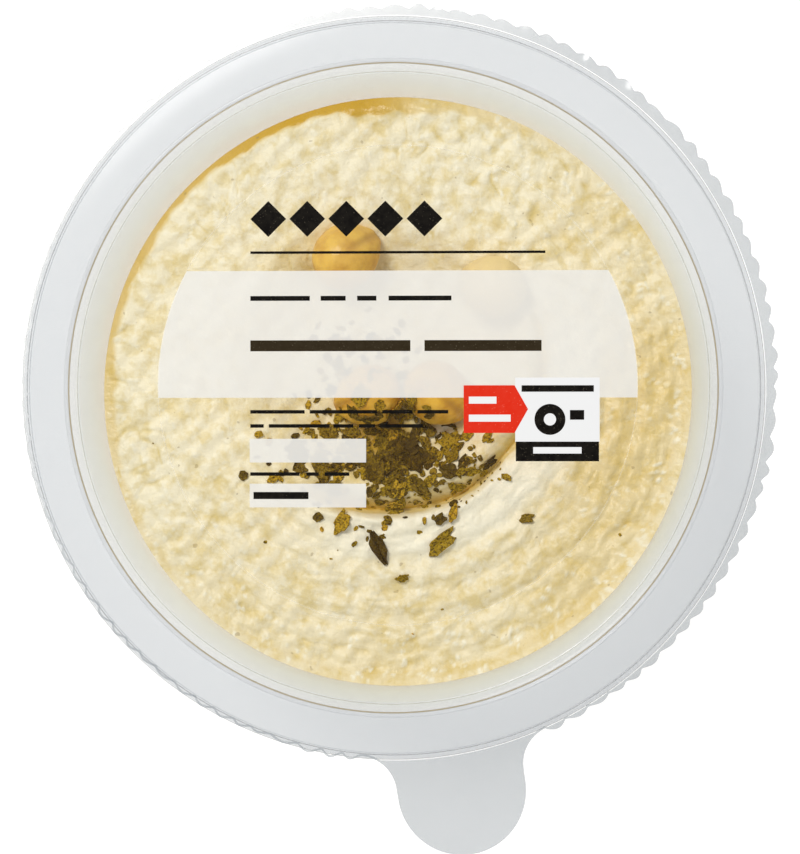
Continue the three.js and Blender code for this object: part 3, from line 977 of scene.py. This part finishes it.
def larger_flakes():
    draw = draws_from(HERB_SEED)
    laid = list(LEAVES)
    for *group, left in HERB_GROUPS:
        while left > 0:
            away, x, y = scatter(draw, *group)
            length = SHORTEST + (LONGEST - SHORTEST) * next(draw) ** 2
            turn = 180 * next(draw)
            if away < 2.2 and is_free(x, y, length, laid):
                laid.append((x, y, length, length * 0.7, turn))
                left -= 1
    return laid


large_flakes = larger_flakes()
print("larger flakes:", len(large_flakes))

# %% [markdown]
# The finer flakes need no solid, so they may lie on the chickpeas and on each other. They thin out
# away from the heap.

# %% Add the finer flakes
FINE_GROUPS = (  # x, y, spread in x and in y, count, length, height of the stack, darkness
    (2.0, -9.4, 3.6, 2.8, 34, 4.0, 0.6, 0.6),
    (-3.2, -6.6, 3.0, 2.6, 26, 3.4, 0.5, -0.4),
    (0.4, -15.8, 1.6, 2.4, 18, 3.0, 0.4, 0.0),
    (-0.5, -3.6, 3.4, 2.0, 12, 3.0, 0.4, -0.2),
    (0.0, -9.8, 4.8, 3.4, 150, 1.9, 0.7, 0.1),
    (-4.5, -2.8, 5.6, 2.8, 50, 1.5, 0.3, 0.0),
    (-5.5, 5.0, 5.0, 3.2, 60, 1.8, 0.2, 0.1),
    (-10.5, -12.6, 5.6, 2.0, 26, 3.0, 0.3, 0.1),
    (-9.5, -11.0, 6.4, 4.6, 60, 1.5, 0.1, 0.0),
    (9.5, -11.0, 2.9, 2.9, 24, 3.0, 0.2, 0.1),
    (8.0, -12.0, 4.2, 3.2, 40, 1.3, 0.1, 0.0),
    (-1.5, -19.5, 7.0, 3.0, 30, 1.4, 0.0, 0.0),
    (2.0, -18.0, 18.0, 10.0, 16, 0.6, 0.0, 0.0),
    (4.0, -17.6, 4.5, 0.8, 45, 0.6, 0.0, 0.2),
    (12.5, -14.2, 2.8, 1.5, 35, 0.6, 0.0, 0.2),
)
FEW = 0.3  # the share of the flakes that stay where they would hide a chickpea
FINE_SEED = 777


def finer_flakes():
    """Each flake is x, y, length, width, turn, shade and lift."""
    draw = draws_from(FINE_SEED)
    laid = []
    for *group, count, long, stack, dark in FINE_GROUPS:
        for _ in range(count):
            away, x, y = scatter(draw, *group)
            length = long * (0.45 + 0.75 * next(draw))
            lift = stack * next(draw) * math.exp(-0.5 * away * away)
            width = length * (0.45 + 0.4 * next(draw))
            hiding = any(math.hypot(x - pea["x"], y - pea["y"]) < 0.9 * pea["radius"] for pea in CHICKPEAS)
            if away < 2.6 and not (hiding and next(draw) > FEW):
                turn, shade = 180 * next(draw), next(draw) * (1 - dark)
                laid.append((x, y, length, width, turn, shade, lift))
    return laid


fine_flakes = finer_flakes()
print("finer flakes:", len(fine_flakes))

# %% [markdown]
# A few scraps are modelled, each with its own outline and cup, and every flake is a copy of one of
# them. The circle's fan of triangles is subdivided, its points are moved in to an uneven outline and
# bent, and Solidify makes it as thick as a dry leaf. At about a hundred triangles each, hundreds of
# flakes stay light.

# %% Model the scraps of leaf
SCRAP_SEED = 4242
SCRAP_CORNERS = (7, 6, 8, 7, 6, 8, 13, 11, 14)
LOBED = 10  # with more corners than this, every third one is pulled in
LEAF_THICK = 0.12


def model_scrap(corners, draw):
    deselect_all()
    bpy.ops.mesh.primitive_circle_add(vertices=corners, radius=MM, fill_type="TRIFAN")
    scrap = bpy.context.object
    flat = points_of(scrap)
    pulled = [0.72 if corners > LOBED and i % 3 == 0 else 1.0 for i in range(len(flat))]
    reach = np.array([(0.40 + 0.16 * next(draw)) * pull for pull in pulled])
    turn = np.arctan2(flat[:, 1], flat[:, 0]) + np.array([0.35 * (next(draw) - 0.5) for _ in flat])
    out = np.hypot(flat[:, 0], flat[:, 1]) * (1 + 0.16 * np.sin(2 * turn) ** 2)
    set_points(scrap, np.column_stack([out * reach * np.cos(turn), out * reach * np.sin(turn), 0 * out]))
    start_editing("SELECT")
    bpy.ops.mesh.subdivide(number_cuts=1)
    stop_editing()
    fold, cup = 0.2 + 0.5 * next(draw), 0.1 + 0.4 * next(draw)
    x, y, _ = points_of(scrap).T
    jag = np.array([0.14 * (next(draw) - 0.5) for _ in x])
    z = 0.6 * fold * np.abs(y) + cup * x * x + jag
    set_points(scrap, np.column_stack([x + 0.3 * jag, y - 0.3 * jag, z]))
    leaf = scrap.modifiers.new("leaf", "SOLIDIFY")
    leaf.thickness = LEAF_THICK * MM
    leaf.offset = 1
    bpy.ops.object.modifier_apply(modifier=leaf.name)
    return scrap


scrap_draw = draws_from(SCRAP_SEED)
scraps = [model_scrap(corners, scrap_draw) for corners in SCRAP_CORNERS]
small_scraps = [scrap for scrap, corners in zip(scraps, SCRAP_CORNERS) if corners < LOBED]
lobed_scraps = [scrap for scrap in scraps if scrap not in small_scraps]
print("triangles in a scrap:", sum(len(face.vertices) - 2 for face in scraps[0].data.polygons))

# %% [markdown]
# Each copy lies on what is under it, paste or chickpea, tilted with the slope and a little more. Its
# shade is stored as a number, so that one material can make every flake a different green or brown.

# %% Lay the flakes and join them
LAY_SEED = 909
CORE_X, CORE_Y, CORE_SPREAD = 2.4, -10.2, 3.9  # the heap is thickest and darkest there
CORE_DARK = 0.9
LEAN, STACKED = 0.4, 0.15  # flakes that lie higher than STACKED lean more
LARGE_LIFT = 0.12
LOBED_FROM = 2.1  # longer flakes than this are lobed


def top_at(x, y):
    """The height of the paste or of a chickpea, whichever is on top."""
    height = float(paste_height(np.array(x), np.array(y), *unevenness(x, y))) + grain(x, y)[0]
    for pea in CHICKPEAS:
        reach = math.hypot(x - pea["x"], y - pea["y"]) / pea["radius"]
        if reach < 0.98:
            height = max(height, middle_height(pea) + pea["radius"] * HIGH * math.sqrt(1 - reach * reach))
    return height


def lay_flake(model, flake, draw):
    x, y, length, width, turn, shade, lift = flake
    span = 0.35 * length
    slope_x = (top_at(x + span, y) - top_at(x - span, y)) / (2 * span)
    slope_y = (top_at(x, y + span) - top_at(x, y - span)) / (2 * span)
    lean = LEAN * (1 + 0.9 * (lift > STACKED))
    shade *= 1 - CORE_DARK * bell(math.hypot((x - CORE_X) / CORE_SPREAD, (y - CORE_Y) / CORE_SPREAD))
    up = Vector((-slope_x + lean * (next(draw) - 0.5), -slope_y + lean * (next(draw) - 0.5), 1))
    tilt = Vector((0, 0, 1)).rotation_difference(up).to_matrix().to_4x4()
    sized = Matrix.Diagonal((length, width, 0.4 * length + 0.3, 1))
    turned = Matrix.Rotation(math.radians(turn), 4, "Z") @ sized
    copy = model.copy()
    copy.data = model.data.copy()
    bpy.context.collection.objects.link(copy)
    copy.matrix_world = Matrix.Translation(Vector((x, y, top_at(x, y) + lift)) * MM) @ tilt @ turned
    keep_number(copy, "shade", np.full(len(copy.data.vertices), shade))
    return copy


draw = draws_from(LAY_SEED)
all_flakes = [(*flake, next(draw), LARGE_LIFT) for flake in large_flakes] + fine_flakes
laid = []
for i, flake in enumerate(all_flakes):
    models = lobed_scraps if flake[2] > LOBED_FROM else small_scraps
    laid.append(lay_flake(models[i % len(models)], flake, draw))
select_only(scraps[0])
for scrap in scraps:
    scrap.select_set(True)
bpy.ops.object.delete()
herbs = join_all(laid)
print("flakes:", len(all_flakes))

# %% [markdown]
# Dried leaf under oil is a mottled olive brown, nearly black where it is thick and golden where it is
# thin and soaked.

# %% Make the leaf material
LEAF_OLIVE = (0.47, 0.298, 0.012, 1)
LEAF_DARK = (0.045, 0.022, 0.001, 1)
LEAF_GOLD = (0.66, 0.36, 0.02, 1)

leaf_look, shader = new_material("dried_herb", Roughness=0.7, Specular_IOR_Level=0.15)
tree = leaf_look.node_tree
where = place_of(tree)
shade = stored_number(tree, "shade")
colour = mix_colours(tree, map_range(tree, shade, 0.0, 0.8, 0.03, 1.0), LEAF_DARK, LEAF_OLIVE)
colour = mix_colours(tree, map_range(tree, shade, 0.8, 0.95), colour, LEAF_GOLD)
blotch = map_range(tree, add_noise(tree, where, 1100, 3.0, 0.7), 0.42, 0.60, 0.0, 0.7)
blotch = do_math(tree, "MULTIPLY", blotch, map_range(tree, shade, 0.0, 0.6, 0.18, 1.0))
colour = mix_colours(tree, blotch, colour, LEAF_OLIVE)
dots = map_range(tree, add_noise(tree, where, 3000, 2.0, 0.6), 0.45, 0.62, 0.0, 0.8)
colour = mix_colours(tree, dots, colour, LEAF_DARK)
tree.links.new(colour, shader.inputs["Base Color"])
finish_piece(herbs, "chopped_herbs", leaf_look, ["hummus"], math.radians(30))

# %% [markdown]
# ## The peel film
# The film is die-cut from a roll: a disc a little larger than the flange, with a scalloped edge and a
# round tear tab. It was laid slightly off centre. A circle is drawn, each of its points is moved in or
# out to the true outline, and the outline is extruded inwards ring by ring, so that the loose edge and
# the tab can ripple. Solidify gives it the thickness of a film.

# %% Draw the film's outline
FILM_X, FILM_Y = 0.9, 0.7
FILM_RADIUS = 59.0
FILM_THICK = 0.12
SCALLOPS = 96
SCALLOP_DEPTH = 0.65
TAB_DIRECTION = math.radians(-81)
TAB_CENTRE = 64.0
TAB_RADIUS = 10.0
TAB_FILLET = 6.0
OUTLINE_POINTS = 1536

notch = FILM_RADIUS - SCALLOP_DEPTH
fillet_v = TAB_RADIUS + TAB_FILLET
fillet_u = math.sqrt((notch + TAB_FILLET) ** 2 - fillet_v ** 2)
tab_half = math.atan2(fillet_v, fillet_u)


def ray_to_circle(turn, u, v, radius, far):
    """How far a ray from the film's middle goes to a circle at (u, v), to its near or far side."""
    ahead = u * math.cos(turn) + v * math.sin(turn)
    beside = u * math.sin(turn) - v * math.cos(turn)
    half = math.sqrt(max(radius ** 2 - beside ** 2, 0))
    return ahead + half if far else ahead - half


def outline_radius(turn):
    """The outline's distance from the film's middle, in a direction counted from the tab's middle."""
    off = abs(math.remainder(turn, 2 * math.pi))
    if off >= tab_half:
        share = (off - tab_half) / (math.pi - tab_half) * SCALLOPS / 2
        uneven = noise.noise(Vector((7 * math.cos(turn), 7 * math.sin(turn), 2.0)))
        along = ((share + 0.35 * uneven) % 1) ** 1.35
        return notch + SCALLOP_DEPTH * (1 + 0.7 * uneven) * math.sin(math.pi * along)
    side_end = math.atan2(TAB_RADIUS, fillet_u)
    if off > side_end:
        return ray_to_circle(off, fillet_u, fillet_v, TAB_FILLET, False)
    if off > math.atan2(TAB_RADIUS, TAB_CENTRE):
        return TAB_RADIUS / math.sin(off)
    return ray_to_circle(off, TAB_CENTRE, 0, TAB_RADIUS, True)


deselect_all()
bpy.ops.mesh.primitive_circle_add(vertices=OUTLINE_POINTS, radius=FILM_RADIUS * MM, fill_type="NOTHING")
film = bpy.context.object
rim = points_of(film)
turns = np.arctan2(rim[:, 1], rim[:, 0])
outline = np.array([outline_radius(t - TAB_DIRECTION) for t in turns])
set_points(film, np.column_stack([outline * np.cos(turns), outline * np.sin(turns), np.zeros(len(turns))]))
print("tab tip", round(float(outline.max()), 1), "mm from the middle")

# %% [markdown]
# Where the film is sealed it is flat. Past the flange nothing holds it, so it ripples from scallop to
# scallop, and the tab curls up a little from being handled. The outer rings are spread evenly between
# the outline and the seal, a circle round the tub's own middle, so that the loose edge can be cut off
# there as a piece of its own.

# %% Fill the film with rings
SEAL = 58.05
SEAL_INSET = 0.35  # where the film is cut inside the seal circle
LOOSE_RINGS = 10
LOOSE_SHARE = 0.85
INNER_SHARES = (0.8, 0.6, 0.4, 0.2)

start_editing("SELECT")
share = 1.0
loose_shares = [1 - (1 - LOOSE_SHARE) * (k + 1) / LOOSE_RINGS for k in range(LOOSE_RINGS)]
for next_share in loose_shares + list(INNER_SHARES):
    bpy.ops.mesh.extrude_region_move(TRANSFORM_OT_translate={"value": (0, 0, 0)})
    factor = next_share / share
    bpy.ops.transform.resize(value=(factor, factor, 1), center_override=(0, 0, 0))
    share = next_share
bpy.ops.mesh.extrude_region_move(TRANSFORM_OT_translate={"value": (0, 0, 0)})
bpy.ops.mesh.merge(type="CENTER")
bpy.ops.mesh.select_all(action="SELECT")
bpy.ops.mesh.normals_make_consistent(inside=False)
stop_editing()

flat = points_of(film)
turns = np.arctan2(flat[:, 1], flat[:, 0])
outline = np.array([outline_radius(t - TAB_DIRECTION) for t in turns])
shares = np.hypot(flat[:, 0], flat[:, 1]) / outline
ahead = FILM_X * np.cos(turns) + FILM_Y * np.sin(turns)
to_seal = np.sqrt(ahead ** 2 - FILM_X ** 2 - FILM_Y ** 2 + SEAL ** 2) - ahead
to_seal = np.minimum(to_seal, outline - SEAL_INSET)
loose = np.clip((shares - LOOSE_SHARE) / (1 - LOOSE_SHARE), 0, 1)
inside = to_seal * shares / LOOSE_SHARE
reach = np.where(shares > LOOSE_SHARE, to_seal + (outline - to_seal) * loose, inside)
sheet = np.column_stack([FILM_X + reach * np.cos(turns), FILM_Y + reach * np.sin(turns), 0 * reach])
set_points(film, sheet)
print("film rings:", LOOSE_RINGS + len(INNER_SHARES))

# %% Let the loose edge ripple
RIPPLE = 0.20
SCALLOP_WAVE = 0.07
EDGE_LIFT = 0.05
TAB_CURL = 1.3

from_axis = np.hypot(sheet[:, 0], sheet[:, 1])


def noise_round(pace, length):
    """Noise that runs round the film at a pace, and changes outwards over a length in mm."""
    return np.array([
        noise.noise(Vector((pace * math.cos(t), pace * math.sin(t), r / length)))
        for t, r in zip(turns, from_axis)
    ])


past = smoothstep(SEAL - 0.2, FILM_RADIUS + 0.4, from_axis)
slow, quick = noise_round(4, 9), noise_round(16, 4)
off_tab = np.abs(np.remainder(turns - TAB_DIRECTION + math.pi, 2 * math.pi) - math.pi)
away_from_tab = smoothstep(tab_half - 0.05, tab_half + 0.1, off_tab)
scallop_wave = np.cos(SCALLOPS * off_tab + 5 * slow) * away_from_tab
tab_reach = reach * np.cos(turns - TAB_DIRECTION)
tab_share = np.clip((tab_reach - FILM_RADIUS) / (TAB_CENTRE + TAB_RADIUS - FILM_RADIUS), 0, 1)
waves = RIPPLE * (slow + 0.8 * quick) + SCALLOP_WAVE * scallop_wave
rise = past * (waves + EDGE_LIFT) + TAB_CURL * tab_share ** 2
sheet[:, 2] = FILM_BOTTOM + FILM_THICK + rise
set_points(film, sheet)
print("film from", round(float(sheet[:, 2].min()), 2), "to", round(float(sheet[:, 2].max()), 2), "mm up")

# %% Cut the loose edge off and give both parts their thickness
select_only(film)
start_editing("DESELECT")
stop_editing()
for face in film.data.polygons:
    face.select = all(shares[i] > LOOSE_SHARE - 1e-6 for i in face.vertices)
start_editing()
bpy.ops.mesh.separate(type="SELECTED")
stop_editing()
film_edge = next(obj for obj in bpy.context.selected_objects if obj != film)
for part in (film, film_edge):
    select_only(part)
    solid = part.modifiers.new("thickness", "SOLIDIFY")
    solid.thickness = FILM_THICK * MM
    solid.offset = 1
    bpy.ops.object.modifier_apply(modifier=solid.name)
print("loose edge faces:", len(film_edge.data.polygons))

# %% [markdown]
# ## Film as a material
# Over the hummus the film is as clear as glass. The loose edge and the tab, with nothing behind them
# but air and no seal to hold them flat, look grey and catch the light on their ripples. Their colour
# is painted nearly white towards the light, a painted highlight. So the two parts have their own
# Alpha, each a plain number.

# %% Make the film's two materials
film_look, shader = new_material(
    "peel_film", Base_Color=(0.2, 0.2, 0.2, 1), Roughness=0.05, IOR=1.5, Alpha=0.02,
)
finish_piece(film, "peel_film", film_look, ["lid_film"], math.radians(60))

# painted light: the edge's colour goes from grey to nearly white towards the light's side
LIT_SIDE = (-0.77, 0.64, 0)
LIT_FROM, LIT_TO = 0.012, 0.05  # metres towards the light
EDGE_GREY = (0.40, 0.43, 0.45, 1)
EDGE_PAINTED_LIGHT = (0.84, 0.85, 0.85, 1)

edge_look, shader = new_material("loose_film_edge", Roughness=0.16, IOR=1.5, Alpha=0.42)
tree = edge_look.node_tree
painted_light = map_range(tree, vector_math(tree, "DOT_PRODUCT", place_of(tree), LIT_SIDE), LIT_FROM, LIT_TO)
colour = mix_colours(tree, painted_light, EDGE_GREY, EDGE_PAINTED_LIGHT)
tree.links.new(colour, shader.inputs["Base Color"])
finish_piece(film_edge, "loose_film_edge", edge_look, ["lid_film"], math.radians(60))

# %% [markdown]
# ## The print
# The film is printed with a white band, two white boxes, lines of dark bars, a row of black lozenges,
# and a red arrow that points at a small block of black and white. Ink is flat, so each field is a
# plane that is stretched to size just over the film. All fields of one ink are joined into one piece.

# %% Lay fields of ink
INK_FLOOR = FILM_BOTTOM + FILM_THICK + 0.02
LAYER = 0.02
INK_GLOSS = 0.06
PRINT_X = 0.32  # the print is that far to the right of its plan
WHITE_LAYER, BAR_LAYER, BLOCK_LAYER, MARK_LAYER, TOP_LAYER = 0, 1, 3, 4, 5


def ink_box(left, right, top, bottom, layer):
    """A field of ink between two edges and two heights on the film, in mm."""
    middle = Vector(((left + right) / 2 + PRINT_X, (top + bottom) / 2, INK_FLOOR + LAYER * layer)) * MM
    deselect_all()
    bpy.ops.mesh.primitive_plane_add(size=MM, location=middle)
    start_editing()
    bpy.ops.transform.resize(value=(right - left, top - bottom, 1), center_override=middle)
    stop_editing()
    return bpy.context.object


def ink_bar(left, right, middle, height, layer):
    return ink_box(left, right, middle + height / 2, middle - height / 2, layer)


def ink_disc(x, y, across, layer, corners=48):
    """A round field, or a lozenge if it has four corners."""
    deselect_all()
    place = Vector((x + PRINT_X, y, INK_FLOOR + LAYER * layer)) * MM
    bpy.ops.mesh.primitive_circle_add(
        vertices=corners, radius=across / 2 * MM, fill_type="NGON", location=place
    )
    return bpy.context.object


def finish_ink(fields, name, colour, alpha, pinhole):
    """Joins fields of one ink. Tiny pinholes and a faint mottle show that it is printed."""
    look, shader = new_material(name, Roughness=0.55, Specular_IOR_Level=INK_GLOSS, Alpha=alpha)
    tree = look.node_tree
    where = place_of(tree)
    mottle = map_range(tree, add_noise(tree, where, 900, 3.0), 0.35, 0.7, 0.0, 0.03)
    mixed = mix_colours(tree, mottle, colour, pinhole)
    holes = map_range(tree, add_noise(tree, where, 5200, 1.0), 0.72, 0.76, 0.0, 0.8)
    mixed = mix_colours(tree, holes, mixed, pinhole)
    tree.links.new(mixed, shader.inputs["Base Color"])
    return finish_piece(join_all(fields), name, look, ["lid_film"])


print("ink lies", round(INK_FLOOR, 2), "mm up")

# %% [markdown]
# The white band is part of a large disc, cut off straight above and below. A circle is filled and
# bisected twice, which keeps its round ends. The two small boxes are the same white ink.

# %% Print the white band and boxes
DISC_X, DISC_Y, DISC_RADIUS, DISC_CORNERS = 0.5, 0.4, 37.4, 256
BAND_TOP, BAND_BOTTOM = 18.2, -1.6
BOX_LEFT, BOX_RIGHT = -22.5, -4.3
BOXES = ((-8.0, -11.7), (-15.0, -18.7))
WHITE_INK = (0.88, 0.865, 0.82, 1)
WHITE_SPECK = (1.0, 1.0, 1.0, 1)

band = ink_disc(DISC_X, DISC_Y, 2 * DISC_RADIUS, WHITE_LAYER, DISC_CORNERS)
select_only(band)
bpy.ops.object.transform_apply(location=True, rotation=False, scale=False)
start_editing()
for height, keeps_below in ((BAND_TOP, True), (BAND_BOTTOM, False)):
    bpy.ops.mesh.select_all(action="SELECT")
    bpy.ops.mesh.bisect(
        plane_co=(0, height * MM, 0), plane_no=(0, 1, 0),
        clear_outer=keeps_below, clear_inner=not keeps_below,
    )
stop_editing()
boxes = [ink_box(BOX_LEFT, BOX_RIGHT, top, bottom, WHITE_LAYER) for top, bottom in BOXES]
finish_ink([band] + boxes, "white_ink", WHITE_INK, 0.85, WHITE_SPECK)

# %% [markdown]
# The bars lie in lines of three weights, and start at the same place on the left. The rule above the
# band and the row of lozenges above it are black.

# %% Print the black and brown bars
LINES_LEFT = -22.4
RULE = (LINES_LEFT, 23.6, 21.05, 0.4)
LOZENGES, LOZENGE_STEP, LOZENGE_ACROSS, LOZENGE_HEIGHT = 5, 6.1, 5.6, 26.3
BLACK_LINES = (  # height on the film, thickness, and both ends of each bar
    (13.9, 0.75, ((-22.4, -13.1), (-11.4, -7.5), (-5.7, -2.7), (-0.8, 9.0))),
    (-3.8, 0.55, ((-22.4, -13.9), (-13.1, -2.6), (-1.8, 2.9), (3.7, 8.5))),
    (-6.0, 0.55, ((-22.4, -20.3), (-19.5, -10.0), (-9.4, -6.3), (-5.4, -2.9), (-2.1, 4.6))),
    (-13.5, 0.55, ((-22.4, -14.7), (-13.6, -11.7), (-10.8, -6.9))),
    (-16.85, 1.1, ((-21.9, -13.3),)),
)
BROWN_LINES = ((6.5, 1.7, ((-22.4, 2.6), (4.8, 23.0))),)
BLACK_INK = (0.003, 0.002, 0.0015, 1)
BROWN_INK = (0.030, 0.020, 0.008, 1)
INK_SPECK = (0.30, 0.26, 0.18, 1)


def ink_lines(lines):
    """The bars of each line, from left to right."""
    bars = [(left, right, middle, thick) for middle, thick, ends in lines for left, right in ends]
    return [ink_bar(*bar, BAR_LAYER) for bar in bars]


black = [ink_bar(*RULE, BAR_LAYER)]
for k in range(LOZENGES):
    x = LINES_LEFT + LOZENGE_ACROSS / 2 + k * LOZENGE_STEP
    black.append(ink_disc(x, LOZENGE_HEIGHT, LOZENGE_ACROSS, BAR_LAYER, 4))
black += ink_lines(BLACK_LINES)
brown = ink_lines(BROWN_LINES)
finish_ink(brown, "brown_ink", BROWN_INK, 1.0, INK_SPECK)

# %% [markdown]
# The block is white with a black foot, and a red arrow points at it. A plain ring and a square stand
# in its middle, with a bar above them and one on the foot.

# %% Print the block and the arrow
BLOCK = {"left": 18.9, "right": 32.0, "top": 1.5, "bottom": -8.5}
FOOT_BOTTOM, FOOT_INSET = -11.5, 0.1
ARROW = {"left": 10.9, "right": 18.8, "tip": 20.9, "top": 0.3, "bottom": -7.1}
RED_INK = (0.80, 0.028, 0.008, 1)
RED_SPECK = (1.0, 0.35, 0.25, 1)
BLOCK_WHITE = (0.92, 0.92, 0.92, 1)
WHITE_BARS = (  # left, right, middle height and thickness: two on the arrow and one on the foot
    (11.7, 16.0, -2.0, 1.1),
    (11.7, 18.2, -4.8, 1.1),
    (21.7, 29.2, -9.8, 1.0),
)
BLOCK_BAR = (19.9, 31.1, -0.2, 1.0)
SQUARE = (27.4, 29.6, -4.3, 1.5)
RING_X, RING_Y, RING_ACROSS, RING_HOLE = 24.3, -5.0, 4.8, 1.9

arrow = ink_box(ARROW["left"], ARROW["right"], ARROW["top"], ARROW["bottom"], MARK_LAYER)
start_editing()
bpy.ops.mesh.select_mode(type="EDGE")
bpy.ops.mesh.select_all(action="DESELECT")
stop_editing()
half = (ARROW["right"] - ARROW["left"]) / 2 * MM
for edge in arrow.data.edges:
    edge.select = all(arrow.data.vertices[i].co.x > 0.9 * half for i in edge.vertices)
start_editing()
bpy.ops.mesh.subdivide(number_cuts=1)
bpy.ops.mesh.select_mode(type="VERT")
bpy.ops.mesh.select_all(action="DESELECT")
stop_editing()
for point in arrow.data.vertices:
    point.select = point.co.x > 0.9 * half and abs(point.co.y) < 0.1 * half
start_editing()
bpy.ops.transform.translate(value=((ARROW["tip"] - ARROW["right"]) * MM, 0, 0))
stop_editing()
finish_ink([arrow], "red_ink", RED_INK, 1.0, RED_SPECK)

white = [ink_box(BLOCK["left"], BLOCK["right"], BLOCK["top"], BLOCK["bottom"], BLOCK_LAYER)]
white += [ink_bar(*bar, TOP_LAYER) for bar in WHITE_BARS]
white.append(ink_disc(RING_X, RING_Y, RING_HOLE, TOP_LAYER))
black.append(ink_bar(*BLOCK_BAR, MARK_LAYER))
black.append(ink_disc(RING_X, RING_Y, RING_ACROSS, MARK_LAYER))
black.append(ink_bar(*SQUARE, MARK_LAYER))
foot = (BLOCK["left"] + FOOT_INSET, BLOCK["right"] - FOOT_INSET, BLOCK["bottom"] + 0.05, FOOT_BOTTOM)
black.append(ink_box(*foot, MARK_LAYER))
finish_ink(white, "block_white_ink", BLOCK_WHITE, 1.0, WHITE_SPECK)
finish_ink(black, "black_ink", BLACK_INK, 1.0, INK_SPECK)

# %% [markdown]
# The band's disc goes on round the film as a hairline, where a layer of varnish ends.

# %% Draw the hairline
HAIRLINE = 0.14
VARNISH = (1.0, 0.97, 0.86, 1)

line = ink_disc(DISC_X, DISC_Y, 2 * DISC_RADIUS + HAIRLINE, WHITE_LAYER, DISC_CORNERS)
start_editing("SELECT")
bpy.ops.mesh.inset(thickness=HAIRLINE * MM, depth=0)
bpy.ops.mesh.delete(type="FACE")
stop_editing()
hairline_look, shader = new_material("varnish_line", Base_Color=VARNISH, Roughness=0.3, Alpha=0.22)
select_only(line)
bpy.ops.object.transform_apply(location=True, rotation=False, scale=False)
finish_piece(line, "varnish_line", hairline_look, ["lid_film"])
